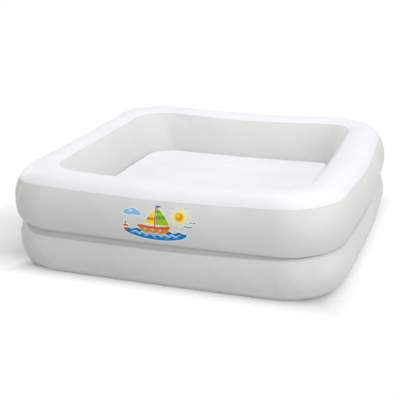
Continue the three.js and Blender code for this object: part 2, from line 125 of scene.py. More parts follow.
def camera_from_photo():
    """Camera at the photo's viewing angle, fitted to the outlines of the rings."""
    azimuth, elevation, roll, distance = 0.337, 0.333, -0.012, 2.2483
    focal_pixels, photo_width, sensor = 860.7, 400, 36
    target = Vector((2.5 * MM + PLAN_SHIFT[0], -116.3 * MM + PLAN_SHIFT[1], 124.1 * MM))
    back = Vector((
        math.sin(azimuth) * math.cos(elevation),
        -math.cos(azimuth) * math.cos(elevation),
        math.sin(elevation),
    ))
    right = Vector((math.cos(azimuth), math.sin(azimuth), 0))
    up = back.cross(right)
    turned_right = right * math.cos(roll) + up * math.sin(roll)
    turned_up = up * math.cos(roll) - right * math.sin(roll)
    camera = bpy.data.cameras.new("camera")
    camera.sensor_width = sensor
    camera.lens = focal_pixels * sensor / photo_width
    camera.clip_end = 50
    turn = Matrix((turned_right, turned_up, back)).transposed().to_4x4()
    holder = link_object("camera", camera)
    holder.matrix_world = Matrix.Translation(target + back * distance) @ turn
    bpy.context.scene.camera = holder


def smooth(value, low, high):
    share = np.clip((value - low) / (high - low), 0, 1)
    return share * share * (3 - 2 * share)


# Plan and section

def outline(half, corners, bows, place):
    """x, y at a place round the plan, 0 to 4, and a share: 1 at a side's middle and 0 at a corner's."""
    place = np.mod(place, SIDES)
    side = np.floor(place).astype(int)
    rest = place - side
    on_corner = rest >= STRAIGHT_SHARE
    turn = np.where(on_corner, (rest - STRAIGHT_SHARE) / (1 - STRAIGHT_SHARE), 0) * math.pi / 2
    along = np.where(on_corner, 1, rest / STRAIGHT_SHARE)
    after = corners[side]
    before = corners[(side + SIDES - 1) % SIDES]
    position = -(half - before) + (2 * half - before - after) * along
    radius = np.where((position < 0) & ~on_corner, before, after)
    near_turn = np.minimum(turn, math.pi / 2 - turn)
    walked = np.where(on_corner, half - after, np.abs(position)) + radius * near_turn
    reach = half - radius + radius * math.pi / 4
    middle_share = (1 + np.cos(math.pi * np.clip(walked / reach, 0, 1))) / 2
    bow_side = np.where(turn > math.pi / 4, (side + 1) % SIDES, side)
    bow = bows[bow_side] * middle_share
    x = position + (after * on_corner + bow) * np.sin(turn)
    y = np.where(on_corner, -(half - after) - (after + bow) * np.cos(turn), -half - bow)
    angle = side * math.pi / 2
    return (
        x * np.cos(angle) - y * np.sin(angle),
        x * np.sin(angle) + y * np.cos(angle),
        middle_share,
    )


# Half width, corner radii and bows of the lines round the plan: upper ring, lower ring, their inside, basin
RING_PLANS = (
    (RING_HALF, OUTER_CORNERS, UPPER_BOWS),
    (RING_HALF, OUTER_CORNERS, LOWER_BOWS),
    (RING_HALF - RING_WIDTH, INNER_CORNERS, INNER_BOWS),
    (RING_HALF - BASIN_INSET, BASIN_CORNERS, INNER_BOWS),
)


def ring_point(place, out, height):
    """The point at a section's (out, height), at one place round the rings."""
    plans = [outline(*plan, place) for plan in RING_PLANS]
    upper_share = smooth(height, *BOW_CHANGE_HEIGHTS)
    within = np.minimum(-out / RING_WIDTH, 1)
    past = np.clip((-out - RING_WIDTH) / (BASIN_INSET - RING_WIDTH), 0, None)
    point = []
    for upper, lower, inner, basin, low_shift, shift in zip(*plans, LOWER_SHIFT, PLAN_SHIFT):
        outer = lower + low_shift + (upper - lower - low_shift) * upper_share
        point.append(outer + (inner - outer) * within + (basin - inner) * past + shift)
    _, _, middle_share = plans[0]
    sag = np.clip((height - SAG_HEIGHTS[0]) / (SAG_HEIGHTS[1] - SAG_HEIGHTS[0]), 0, 1)
    point.append(height - SIDE_SAG * middle_share * sag)
    return np.stack(np.broadcast_arrays(*point), -1)


def unit(vector):
    return vector / np.hypot(*vector)


def ways(start, end):
    """The way from one point of a section to another, and the way square to it."""
    run = unit(np.subtract(end, start))
    return run, np.array([-run[1], run[0]])


def sideways(line):
    """The way square to a line at each of its points, to its right."""
    along = np.gradient(line, axis=0)
    along = along / np.hypot(*along.T)[:, None]
    return np.stack([along[:, 1], -along[:, 0]], -1)


def run_along(line):
    """How far along a line each of its points is."""
    return np.concatenate([[0], np.cumsum(np.hypot(*(line[1:] - line[:-1]).T))])


def round_from(centre, start, end, steps):
    """Points on a circle, the short way round from one point to another."""
    first, last = start - centre, end - centre
    sweep = math.atan2(first[0] * last[1] - first[1] * last[0], first @ last)
    turned = math.atan2(first[1], first[0]) + sweep * np.linspace(0, 1, steps + 1)
    return centre + np.hypot(*first) * np.stack([np.cos(turned), np.sin(turned)], -1)


def arc(start, middle, end, steps):
    """Points on the circle through three points of a section."""
    start, middle, end = (np.array(point, float) for point in (start, middle, end))
    first, second = middle - start, end - start
    cross = 2 * (first[0] * second[1] - first[1] * second[0])
    centre = start + np.array([
        second[1] * (first @ first) - first[1] * (second @ second),
        first[0] * (second @ second) - second[0] * (first @ first),
    ]) / cross
    return round_from(centre, start, end, steps)


def bend(start, corner, end, steps):
    """Points on a curve that leads round a corner."""
    share = np.linspace(0, 1, steps + 1)[:, None]
    return start * (1 - share) ** 2 + corner * 2 * share * (1 - share) + end * share ** 2


def rolled(points, index):
    """The line with its bend at one point rounded off as a seam is."""
    corner = points[index]
    start, end = (
        corner + (other - corner) * min(SEAM_ROLL / np.hypot(*(other - corner)), 0.5)
        for other in (points[index - 1], points[index + 1])
    )
    return np.concatenate([points[:index], bend(start, corner, end, 5), points[index + 1:]])


# Waves and puckers of the film, all periodic round the tub

FRONT_LEFT_CORNER = 3.8
BACK_RIGHT_CORNER = 1.8
SLACK_SPREAD = 0.22


def from_place(place, middle):
    """How far a place round the tub is from another, the short way."""
    return np.mod(place - middle + SIDES / 2, SIDES) - SIDES / 2


def near_place(place, middle, width):
    """1 at a place round the tub, fading to both sides of it."""
    return np.exp(-(from_place(place, middle) / width) ** 2)


def waves(seed, fewest, most, count=9, lengths=None):
    """A smooth random wave, about -1 to 1, with so many cycles round the tub. Where a shortest and a longest
    length are given, it runs along the section too."""
    random = np.random.default_rng(seed)
    cycles = random.integers(fewest, most + 1, count)
    spans = np.full(count, math.inf)
    if lengths:
        spans = random.uniform(*lengths, count) * random.choice([-1, 1], count)
    phases = random.uniform(0, 2 * math.pi, count)
    weights = random.uniform(0.5, 1, count)
    weights = weights / np.sqrt((weights ** 2).sum() * 2)

    def value(place, run=0):
        total = 0
        for cycle, span, phase, weight in zip(cycles, spans, phases, weights):
            total = total + weight * np.sin(2 * math.pi * (cycle * place / SIDES + run / span) + phase)
        return total
    return value


def corner_share(place):
    """0 along the sides, 1 round the corners."""
    _, _, middle_share = outline(*RING_PLANS[0], place)
    return smooth(1 - middle_share, 0.5, 0.97)


def puckers(seed, count, at_side, at_corner):
    """Depth of the small folds along a seam: round tops and sharp valleys, deepest round the corners."""
    drift = waves(seed, 5, 40)
    strength = waves(seed + 1, 12, 70)

    def depth(place):
        phase = math.pi * count * place / SIDES + 2.5 * drift(place)
        fold = 1 - np.sqrt(np.sin(phase) ** 2 + 0.03)
        vary = np.clip(0.55 + 0.75 * strength(place), 0, 1.5)
        corners = (FRONT_LEFT_CORNER, BACK_RIGHT_CORNER)
        looseness = 1 + sum(near_place(place, corner, SLACK_SPREAD) for corner in corners)
        return fold * vary * looseness * (at_side + (at_corner - at_side) * corner_share(place))
    return depth


def beside_seam(run, peak):
    """How strongly a seam's folds show at a distance from it: none on the seam, most at the peak."""
    share = np.clip(run, 0, None) / peak
    return share * np.exp(1 - share)


START, END = 0, 1


class Film:
    """One film panel: a line of the section, the side of it that shows, the weld margins at its two ends, its
    relief, and how it strays from the line."""

    def __init__(self, line, out_side, margins, relief, shifts):
        self.line = line
        self.run = run_along(line)
        self.ends = margins[START], self.run[-1] - margins[END]
        self.way_out = sideways(line) * out_side
        self.relief = relief
        self.shifts = shifts

    def point(self, place, run, lift=0.0):
        columns = np.hstack([self.line, self.way_out]).T
        out, height, way_out, way_up = (np.interp(run, self.run, column) for column in columns)
        raised = self.relief(self, place, run) + lift
        shifts = [shift(self, place, run) for shift in self.shifts]
        out = out + way_out * raised + sum(shift[0] for shift in shifts)
        height = height + way_up * raised + sum(shift[1] for shift in shifts)
        return ring_point(place, out, height)


def at_seam(end, stray, reach=30 * MM):
    """A film's shift that follows the stray of one of its seams, and fades away from it."""
    def shift(film, place, run):
        weight = np.exp(-((run - film.ends[end]) / reach) ** 2)
        out, up = stray(place)
        return out * weight, up * weight
    return shift


# Meshes and pieces

def new_mesh(points, faces):
    mesh = bpy.data.meshes.new("shape")
    mesh.from_pydata(points, [], faces)
    return mesh


def loop_faces(rows, following):
    """Faces between rows of point numbers and the rows that follow them. Each row closes on itself."""
    return np.stack([rows, np.roll(rows, -1, 1), np.roll(following, -1, 1), following], -1)


def faced_out(mesh):
    """The mesh without loose points, shaded smooth, with its faces turned outwards."""
    work = bmesh.new()
    work.from_mesh(mesh)
    loose = [vertex for vertex in work.verts if not vertex.link_faces]
    bmesh.ops.delete(work, geom=loose, context="VERTS")
    bmesh.ops.recalc_face_normals(work, faces=work.faces)
    if work.calc_volume(signed=True) < 0:
        bmesh.ops.reverse_faces(work, faces=work.faces)
    for face in work.faces:
        face.smooth = True
    work.to_mesh(mesh)
    work.free()
    return mesh


def add_object(name, mesh, material, body="tub"):
    """Links a mesh as a piece, which rides on a body unless that is None."""
    mesh.name = name
    piece = link_object(name, faced_out(mesh))
    piece.data.materials.append(material)
    if body:
        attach(piece, body)
    return piece


# Lines of the section

BASIN_SEAM = (-BASIN_INSET, BASIN_SEAM_HEIGHT)
OUTER_RUN, OUTER_IN = ways(GROOVE_SEAM, CROWN)
INNER_RUN, INNER_IN = ways((CROWN[0], INNER_SEAM[1]), (INNER_SEAM[0], BASIN_SEAM_HEIGHT))
DIVIDER_RUN, DIVIDER_DOWN = ways(GROOVE_SEAM, BASIN_SEAM)


def seam_end(seam, on_side, inwards):
    """Where a film's face ends at a seam, and the end of its weld margin behind it."""
    end = np.array(seam) + on_side * SEAM_GAP / 2
    return end, end + inwards * WELD_MARGIN


def with_margins(margin_a, line, margin_b):
    points = np.concatenate([[margin_a], line, [margin_b]])
    return rolled(rolled(points, len(points) - 2), 1)


def top_line():
    outer_end, outer_margin = seam_end(CREASE, OUTER_RUN, OUTER_IN)
    inner_end, inner_margin = seam_end(INNER_SEAM, -INNER_RUN, INNER_IN)
    return with_margins(outer_margin, arc(outer_end, CROWN, inner_end, 26), inner_margin)


def bulged_face(end, bulge, seam_height, lip):
    """A ring's outer face, from its far end over its outermost point to a tight lip and level to the seam."""
    end, bulge = np.array(end), np.array(bulge)
    inwards, away = bulge - end
    end_round = (inwards ** 2 + away ** 2) / (2 * inwards)
    end_centre = bulge - np.array([end_round, 0])
    lip_height = seam_height - math.copysign(lip, seam_height - bulge[1])
    wall_centre = bulge - np.array([WALL_ROUND, 0])
    apart = WALL_ROUND - lip
    lip_centre = np.array([wall_centre[0] + math.sqrt(apart ** 2 - (lip_height - bulge[1]) ** 2), lip_height])
    meeting = wall_centre + unit(lip_centre - wall_centre) * WALL_ROUND
    lip_end = np.array([lip_centre[0], seam_height])
    return np.concatenate([
        round_from(end_centre, end, bulge, 14),
        round_from(wall_centre, bulge, meeting, 12)[1:],
        round_from(lip_centre, meeting, lip_end, 8)[1:],
        [[GROOVE_SEAM[0] + SEAM_STEP, seam_height], [GROOVE_SEAM[0], seam_height]],
    ])


def upper_outer_line():
    top_end, top_margin = seam_end(CREASE, -OUTER_RUN, OUTER_IN)
    face = bulged_face(top_end, UPPER_BULGE, GROOVE_SEAM[1] + STACK, UPPER_LIP_RADIUS)
    return rolled(np.concatenate([[top_margin], face]), 1)


def lower_outer_line():
    face = bulged_face(FOOT_TURN, LOWER_BULGE, GROOVE_SEAM[1] - STACK, LIP_RADIUS)[::-1]
    margin_height = FILM / 2 + STACK
    foot = arc(FOOT_TURN, FOOT_ROUND, (-FOOT_INSET, margin_height), 7)[1:]
    end = np.array([[-FOOT_INSET - WELD_MARGIN, margin_height]])
    return np.concatenate([face, foot, end])


def upper_inner_line():
    top_end, top_margin = seam_end(INNER_SEAM, INNER_RUN, INNER_IN)
    bottom_end = np.array(BASIN_SEAM) - DIVIDER_DOWN * STACK
    bottom_margin = bottom_end - DIVIDER_RUN * WELD_MARGIN
    _, outwards = ways(top_end, bottom_end)
    belly = (top_end + bottom_end) / 2 - outwards * INNER_WALL_BELLY
    return with_margins(top_margin, arc(top_end, belly, bottom_end, 26), bottom_margin)


# Relief of each panel, and how its seams stray

crease_folds = puckers(11, 190, 0.12 * MM, 0.5 * MM)
groove_folds = puckers(23, 170, 0.2 * MM, 0.4 * MM)
foot_folds = puckers(37, 150, 0.7 * MM, 1.0 * MM)
basin_folds = puckers(41, 230, 0.35 * MM, 0.3 * MM)
crease_wander = waves(51, 6, 40)
groove_wander = waves(53, 8, 50)
foot_wander = waves(57, 8, 44)
swell = waves(61, 6, 26, 12, (90 * MM, 260 * MM))
ripple = waves(67, 30, 90, 12, (40 * MM, 90 * MM))

# Slack of each film: where it sets in after the line's start and before its face's end, and its swells and
# ripples, each a height and how far it is turned round the tub
SLACK = {
    "top": ((WELD_MARGIN, 25 * MM), (0, 25 * MM), (0.7 * MM, 0), (0.25 * MM, 0)),
    "upper_outer": ((WELD_MARGIN, 30 * MM), (5 * MM, 40 * MM), (0.9 * MM, 0.4), (0.25 * MM, 0)),
    "lower_outer": ((5 * MM, 40 * MM), (0, 30 * MM), (0.9 * MM, 1.7), (0.3 * MM, 0.9)),
    "upper_inner": ((WELD_MARGIN, 25 * MM), (0, 25 * MM), (0.9 * MM, 2.3), (0.25 * MM, 1.9)),
}

# How far from its seam each kind of fold is deepest
FOLD_PEAKS = {
    "top": 8 * MM, "upper_outer": 9 * MM, "lip": 14 * MM,
    "foot": 14 * MM, "upper_inner": 10 * MM, "floor": 7 * MM,
}

# The folds in the lips over and under the groove start this far from its seam
LIP_FOLDS_START = 8 * MM

CREASE_PEAK_WIDTH = 0.1
CREASE_PEAK_OUT = 2.5 * MM
CREASE_PEAK_DROP = 3 * MM
CORNER_FOLD_PLACE = 3.785
CORNER_FOLD_WIDTH = 0.045
CORNER_FOLD_DEPTH = 4.5 * MM
CORNER_FOLD_START = 20 * MM
CORNER_FOLD_END = (55 * MM, 105 * MM)

# The lower ring's shoulder lies back under the upper ring on both sides of the front left corner. It fades in
# beside the corner, and out again towards the next corner on each side.
SHOULDER_CORNER = 3.74
SHOULDER_BACK = 12 * MM
SHOULDER_DROP = 14 * MM
SHOULDER_LIP_RADIUS = 5 * MM
SHOULDER_RISE = 2 * MM
SHOULDER_START = (0.02, 0.17)
SHOULDER_FRONT_END = (0.55, 1.15)
SHOULDER_LEFT_END = (0.35, 0.95)

# Short creases across the groove near the back right corner: place and depth
GROOVE_NICKS = [(1.535, 4 * MM), (1.575, 6 * MM), (1.61, 4 * MM), (1.645, 5.5 * MM)]
NICK_WIDTH = 0.008
NICK_REACH = 9 * MM
NICK_FROM_SEAM = 13 * MM

# The seam between floor and wall is drawn down near the back right corner: middle and width of the stretch
BASIN_CREVICE = 1.2 * MM
CREVICE_SPREAD = (1.9, 0.45)

# Where a valve's flange sits, the film is flat and smooth, over these stretches from the valve's middle
VALVE_FLAT = (18 * MM, 45 * MM)
VALVE_CALM = (18 * MM, 50 * MM)
VALVE_PLACE = 2 + STRAIGHT_SHARE * 0.625
STRAIGHT_METRES = (2 * RING_HALF - OUTER_CORNERS[1] - OUTER_CORNERS[2]) / STRAIGHT_SHARE


def groove_nicks(place, away):
    depth = sum(deep * near_place(place, middle, NICK_WIDTH) for middle, deep in GROOVE_NICKS)
    return depth * np.exp(-(away / NICK_REACH) ** 2)


def crease_stray(place):
    """The outer seam wanders a little, and at the front left corner it is drawn down into a small peak."""
    peak = near_place(place, FRONT_LEFT_CORNER, CREASE_PEAK_WIDTH)
    out = 0.5 * MM * crease_wander(place) * (0.4 + 0.2 * corner_share(place)) + CREASE_PEAK_OUT * peak
    up = 0.7 * MM * crease_wander(place + 1.3) * (0.5 + 0.2 * corner_share(place)) - CREASE_PEAK_DROP * peak
    return out, up


def groove_stray(place):
    share = 0.5 + 0.3 * corner_share(place)
    return 0.4 * MM * groove_wander(place) * share, 0.5 * MM * groove_wander(place + 0.7) * share


def basin_stray(place):
    crevice = BASIN_CREVICE * near_place(place, *CREVICE_SPREAD)
    return 0.8 * MM * foot_wander(place), 0.5 * MM * foot_wander(place + 2.1) - crevice


def foot_stray(place):
    return 1.6 * MM * foot_wander(place) * (0.5 + corner_share(place)), 0


def slack(name, film, place, run):
    """Swells and ripples of a slack film, with none at its seams."""
    starts, ends, swells, ripples = SLACK[name]
    inside = smooth(run, *starts) * smooth(film.ends[END] - run, *ends)
    rise, turn = swells
    fine_rise, fine_turn = ripples
    return inside * (rise * swell(place + turn, run) + fine_rise * ripple(place + fine_turn, run))


def beside_valve(place, run, valve_run, relief):
    """A round wall's relief, but flat where a valve's flange sits."""
    away = np.hypot((place - VALVE_PLACE) * STRAIGHT_METRES, run - valve_run)
    pad = (run - valve_run) ** 2 / (2 * WALL_ROUND) * (1 - smooth(away, *VALVE_FLAT))
    return pad + smooth(away, *VALVE_CALM) * relief


def top_relief(film, place, run):
    folds = crease_folds(place) * beside_seam(run - film.ends[START], FOLD_PEAKS["top"])
    return slack("top", film, place, run) - folds


def upper_outer_relief(film, place, run):
    start, end = film.ends
    body = slack("upper_outer", film, place, run)
    folds = crease_folds(place) * beside_seam(run - start, FOLD_PEAKS["upper_outer"])
    lip_folds = groove_folds(place) * beside_seam(end - LIP_FOLDS_START - run, FOLD_PEAKS["lip"])
    fold_reach = smooth(run, start, CORNER_FOLD_START) * (1 - smooth(run, *CORNER_FOLD_END))
    corner_fold = CORNER_FOLD_DEPTH * near_place(place, CORNER_FOLD_PLACE, CORNER_FOLD_WIDTH) * fold_reach
    nicks = groove_nicks(place, end - NICK_FROM_SEAM - run)
    return beside_valve(place, run, VALVE_RUNS["upper"], body - folds - lip_folds - corner_fold - nicks)


def lower_outer_relief(film, place, run):
    body = slack("lower_outer", film, place, run)
    lip_folds = groove_folds(place + 0.01) * beside_seam(run - LIP_FOLDS_START, FOLD_PEAKS["lip"])
    low_folds = foot_folds(place) * beside_seam(film.ends[END] - run, FOLD_PEAKS["foot"])
    nicks = groove_nicks(place, run - NICK_FROM_SEAM)
    return beside_valve(place, run, VALVE_RUNS["lower"], body - lip_folds - low_folds - nicks)


def upper_inner_relief(film, place, run):
    folds = basin_folds(place) * beside_seam(film.ends[END] - run, FOLD_PEAKS["upper_inner"])
    return slack("upper_inner", film, place, run) - folds


def shoulder_change(line):
    """How far each point of the lower ring's line moves where its shoulder is lower."""
    seam_height = GROOVE_SEAM[1] - STACK
    face = bulged_face(FOOT_TURN, LOWER_BULGE, seam_height - SHOULDER_DROP, SHOULDER_LIP_RADIUS)[::-1]
    change = np.zeros_like(line)
    change[:len(face)] = face - line[:len(face)]
    change[0] = 0
    change[1] += (-SHOULDER_BACK, SHOULDER_RISE)
    return change


def shoulder_shift(film, place, run):
    away = from_place(place, SHOULDER_CORNER)
    share = smooth(abs(away), *SHOULDER_START) * (1 - smooth(away, *SHOULDER_FRONT_END))
    share = share * (1 - smooth(-away, *SHOULDER_LEFT_END))
    return [np.interp(run, film.run, values) * share for values in shoulder_change(film.line).T]


def run_at_height(line, height):
    """How far along a line of the section the film is at a height, on its outermost stretch."""
    order = np.argsort(line[:, 1])
    return float(np.interp(height, line[order, 1], run_along(line)[order]))


VALVE_RUNS = {
    "upper": run_at_height(upper_outer_line()[2:], UPPER_BULGE[1]) + WELD_MARGIN,
    "lower": run_at_height(lower_outer_line()[:-2], LOWER_BULGE[1]),
}


# Holes in a film for a valve or the drain

HOLE_RADIUS = 15.3 * MM
DRAIN_HOLE_RADIUS = 17.3 * MM
DRAIN_BORE = 14 * MM

# Half the width, in cells, of the block that a hole takes out
HOLE_CELLS = 4
BASE_HOLE_CELLS = 3
HOLE_REACH = 2.4


def round_hole(across, along, radius, cells=HOLE_CELLS):
    """Moves a grid of plane points, measured from a hole's centre, so that a block of cells becomes round.
    Gives back the points and which faces the hole takes out."""
    distance = np.hypot(across, along)
    row, column = np.unravel_index(distance.argmin(), distance.shape)
    slide = np.exp(-(distance / (1.5 * radius)) ** 2)
    across = across - across[row, column] * slide / slide[row, column]
    along = along - along[row, column] * slide / slide[row, column]
    rows = (np.arange(distance.shape[0]) - row)[:, None]
    columns = (np.arange(distance.shape[1]) - column)[None, :]
    ring = np.maximum(abs(rows), abs(columns)) / cells
    length = np.maximum(np.hypot(rows, columns), 1)
    weight = 1 - smooth(ring, 1, HOLE_REACH)
    across = across + (radius * ring * columns / length - across) * weight
    along = along + (radius * ring * rows / length - along) * weight
    taken = (rows >= -cells) & (rows < cells) & (columns >= -cells) & (columns < cells)
    return across, along, taken


def close_hole_edges(mesh, partner):
    """Joins the rim of each hole in the shown face with the rim in the hidden face."""
    work = bmesh.new()
    work.from_mesh(mesh)
    work.verts.ensure_lookup_table()
    for edge in [edge for edge in work.edges if edge.is_boundary]:
        if all(vertex.index in partner for vertex in edge.verts):
            loop = edge.link_loops[0]
            start, end = loop.vert, loop.link_loop_next.vert
            work.faces.new((end, start, work.verts[partner[start.index]], work.verts[partner[end.index]]))
    work.to_mesh(mesh)
    work.free()
    return mesh


def film_mesh(film, valve_run=None):
    """Both faces of a film panel all round the tub, closed along its two edges, and pierced for its valve."""
    place, run = np.broadcast_arrays(np.arange(STATIONS) * SIDES / STATIONS, film.run[:, None])
    rows = len(film.run)
    taken = np.zeros((2 * rows, STATIONS), bool)
    if valve_run is not None:
        across = (place - VALVE_PLACE) * STRAIGHT_METRES
        across, along, hole = round_hole(across, run - valve_run, HOLE_RADIUS)
        place = across / STRAIGHT_METRES + VALVE_PLACE
        run = along + valve_run
        taken[:rows] = hole
        taken[rows:-1] = hole[-2::-1]
    points = np.concatenate([film.point(place, run), film.point(place, run, -FILM)[::-1]]).reshape(-1, 3)
    numbers = np.arange(len(points)).reshape(taken.shape)
    faces = loop_faces(numbers, np.roll(numbers, -1, 0))[~taken]
    partner = dict(zip(numbers[:rows].ravel().tolist(), numbers[:rows - 1:-1].ravel().tolist()))
    return close_hole_edges(new_mesh(points.tolist(), faces.tolist()), partner)


# Floor: a field of square cells whose rim runs round with the rings, and a band that rolls over to the seam

FIELD_CELLS = 156
FIELD_INSET = 34 * MM
FIELD_OUT = -BASIN_INSET - FIELD_INSET
FLOOR_MIDDLE = FLOOR_HEIGHT - FILM / 2
LANE_RISE = 2.2 * MM
LANE_END = 30 * MM
MOTTLE_RISE = 0.12 * MM
FLOOR_FOLDS_SHARE = 0.8
BAND_CALM = (2 * MM, 22 * MM)

# The floor is flat within these reaches of its fittings' middles, and calms down towards them
FITTING_REACHES = (("floor_valve_flange", 16 * MM), ("drain_sleeve", 27 * MM))
FITTING_CALM = 45 * MM

# The band rolls over from this far inside the seam, through a point this far inside and below the floor's top
BAND_ROLL = 14 * MM
BAND_ROLL_MIDDLE = (4.5 * MM, 1.7 * MM)

# Near the back right corner a narrow fold runs along the floor's edge, closest to the back wall
EDGE_FOLD_DEPTH = 8 * MM
EDGE_FOLD_SPREAD = (1.6, 0.32)
EDGE_FOLD_WIDTH = 5 * MM
EDGE_FOLD_AWAY = (16 * MM, 8 * MM)
EDGE_FOLD_TURN = (1.55, 1.95)

mottle_random = np.random.default_rng(83)
MOTTLE_WAVES = [
    [mottle_random.uniform(*limits) for limits in ((28 * MM, 110 * MM), (0, 2 * math.pi), (0, 2 * math.pi))]
    for _ in range(16)
]


def floor_relief(x, y):
    """Height of the floor's film over its flat: it rises between the tie webs, and is faintly mottled."""
    plan_x, plan_y = x - PLAN_SHIFT[0], y - PLAN_SHIFT[1]
    inside = smooth(FLOOR_HALF - LANE_END - np.maximum(abs(plan_x), abs(plan_y)), 0, 2 * LANE_END)
    lane = (1 - np.cos(2 * math.pi * (plan_y + FLOOR_HALF) / WEB_PITCH)) / 2
    height = LANE_RISE * lane ** 0.7 * inside
    for length, direction, phase in MOTTLE_WAVES:
        across = x * math.cos(direction) + y * math.sin(direction)
        height = height + MOTTLE_RISE * (1 + np.sin(2 * math.pi * across / length + phase))
    for fitting, reach in FITTING_REACHES:
        centre = middle_of(fitting)
        height = height * smooth(np.hypot(x - centre.x, y - centre.y), reach, reach + FITTING_CALM)
    return height


def floor_places(out):
    """Places round the rings, evenly spaced along the floor's rim, from the front left corner on."""
    dense = np.linspace(-0.2, SIDES - 0.2, 4001)
    lengths = run_along(ring_point(dense, out, FLOOR_MIDDLE)[:, :2])
    places = []
    for side in range(SIDES):
        start, end = (np.interp(side + share, dense, lengths) for share in (-0.2, 0.8))
        wanted = start + (end - start) * np.arange(FIELD_CELLS) / FIELD_CELLS
        places.append(np.interp(wanted, lengths, dense))
    return np.concatenate(places)


def field_points(rim):
    """x, y of the field's grid: square in the middle, and following the rim at its edge."""
    steps = np.linspace(-1, 1, FIELD_CELLS + 1)
    across, along = np.meshgrid(steps, steps)
    reach = np.maximum(np.maximum(abs(across), abs(along)), 1e-9)
    side = np.select([-along >= abs(across), across > abs(along), along >= abs(across)], [0, 1, 2], 3)
    share = np.choose(side, [across, along, -across, -along]) / reach
    index = (side + (share + 1) / 2) * FIELD_CELLS
    looped = np.concatenate([rim, rim[:1]])
    half = FLOOR_HALF - FIELD_INSET
    weight = reach ** 2
    points = []
    for centre, step, line in zip(PLAN_SHIFT, (across, along), looped.T):
        at_rim = np.interp(index, np.arange(len(line)), line) - centre
        points.append(centre + step * half * (1 - weight) + at_rim * reach * weight)
    return points


def pierced_field(x, y, holes):
    """The field's grid with its holes, and its faces, shown and hidden. A hole is its centre, its radius and
    half its width in cells."""
    taken = np.zeros(x.shape, bool)
    for centre, radius, cells in holes:
        across, along, hole = round_hole(x - centre.x, y - centre.y, radius, cells)
        x, y = across + centre.x, along + centre.y
        taken |= hole
    numbers = np.arange(x.size).reshape(x.shape)
    faces = np.stack([numbers[:-1, :-1], numbers[:-1, 1:], numbers[1:, 1:], numbers[1:, :-1]], -1)
    faces = faces[~taken[:-1, :-1]]
    return x, y, np.concatenate([faces, (faces + x.size)[:, ::-1]])


def field_mesh(points, faces, count):
    """A mesh whose first points are the field's shown ones and then its hidden ones, closed at its holes."""
    partner = {number: number + count for number in range(count)}
    return close_hole_edges(new_mesh(points.tolist(), faces.tolist()), partner)


def field_rim_numbers():
    """Grid numbers of the field's rim, in the order of floor_places."""
    width = FIELD_CELLS + 1
    steps = np.arange(FIELD_CELLS)
    back_row = FIELD_CELLS * width
    return np.concatenate([
        steps, steps * width + FIELD_CELLS, back_row + FIELD_CELLS - steps, (FIELD_CELLS - steps) * width,
    ])


def floor_line():
    """From the field's rim to the seam at the wall, and down the hidden wall as a weld margin."""
    edge = np.array(BASIN_SEAM) + DIVIDER_DOWN * STACK
    foot = np.array([-HIDDEN_WALL_FOOT_INSET, FILM / 2 + STACK])
    edge_top = edge - np.array([STACK, 0])
    margin_end = edge_top + unit(foot - edge) * WELD_MARGIN
    flat = np.stack([np.linspace(FIELD_OUT, edge[0] - BAND_ROLL, 5), np.full(5, FLOOR_MIDDLE)], -1)
    inside, below = BAND_ROLL_MIDDLE
    crown = arc(flat[-1], (edge[0] - inside, FLOOR_MIDDLE - below), edge_top, 9)[1:]
    points = np.concatenate([flat, crown, [margin_end]])
    return rolled(points, len(points) - 2)


def floor_band_relief(film, place, run):
    from_seam = film.ends[END] - run
    points = ring_point(place, np.interp(run, film.run, film.line[:, 0]), FLOOR_MIDDLE)
    relief = floor_relief(points[..., 0], points[..., 1]) * smooth(from_seam, *BAND_CALM)
    at_right, at_back = EDGE_FOLD_AWAY
    away = at_right + (at_back - at_right) * smooth(place, *EDGE_FOLD_TURN)
    fold = EDGE_FOLD_DEPTH * near_place(place, *EDGE_FOLD_SPREAD)
    fold = fold * np.exp(-((from_seam - away) / EDGE_FOLD_WIDTH) ** 2)
    seam_folds = basin_folds(place + 0.01) * beside_seam(from_seam, FOLD_PEAKS["floor"]) * FLOOR_FOLDS_SHARE
    return relief - fold - seam_folds


def floor_mesh(holes):
    """The floor's film: the field, and the band round it."""
    places = floor_places(FIELD_OUT)
    film = Film(
        floor_line(), -1, (0, WELD_MARGIN), floor_band_relief, [at_seam(END, basin_stray, 12 * MM)],
    )
    x, y, faces = pierced_field(*field_points(ring_point(places, FIELD_OUT, FLOOR_MIDDLE)[:, :2]), holes)
    shown = np.stack([x, y, FLOOR_MIDDLE + floor_relief(x, y)], -1).reshape(-1, 3)
    band_run = film.run[1:, None]
    band = np.concatenate([film.point(places, band_run), film.point(places, band_run, -FILM)[::-1]])
    count = len(shown)
    band_numbers = 2 * count + np.arange(band.size // 3).reshape(band.shape[:2])
    rim = field_rim_numbers()
    ladder = np.concatenate([[rim], band_numbers, [rim + count]])
    faces = np.concatenate([faces, loop_faces(ladder[:-1], ladder[1:]).reshape(-1, 4)])
    points = np.concatenate([shown, shown - np.array([0, 0, FILM]), band.reshape(-1, 3)])
    return field_mesh(points, faces, count)


def base_mesh(hole):
    """The flat bottom film, with its rim just outside the foot and a hole for the drain."""
    places = floor_places(FOOT_FLANGE - FOOT_INSET)
    rim = ring_point(places, FOOT_FLANGE - FOOT_INSET, 0)[:, :2]
    rim_out, _ = foot_stray(places)
    away = rim - np.array(PLAN_SHIFT)
    rim = rim + away / np.hypot(*away.T)[:, None] * rim_out[:, None]
    x, y, faces = pierced_field(*field_points(rim), [hole])
    shown = np.stack([x, y, np.full(x.shape, FILM)], -1).reshape(-1, 3)
    return field_mesh(np.concatenate([shown, shown * np.array([1, 1, 0])]), faces, x.size)


# Materials

FILM_GRAIN = ((1400, 2), 0.012 * MM)
MOULD_GRAIN = ((1800, 2), 0.0006 * MM)


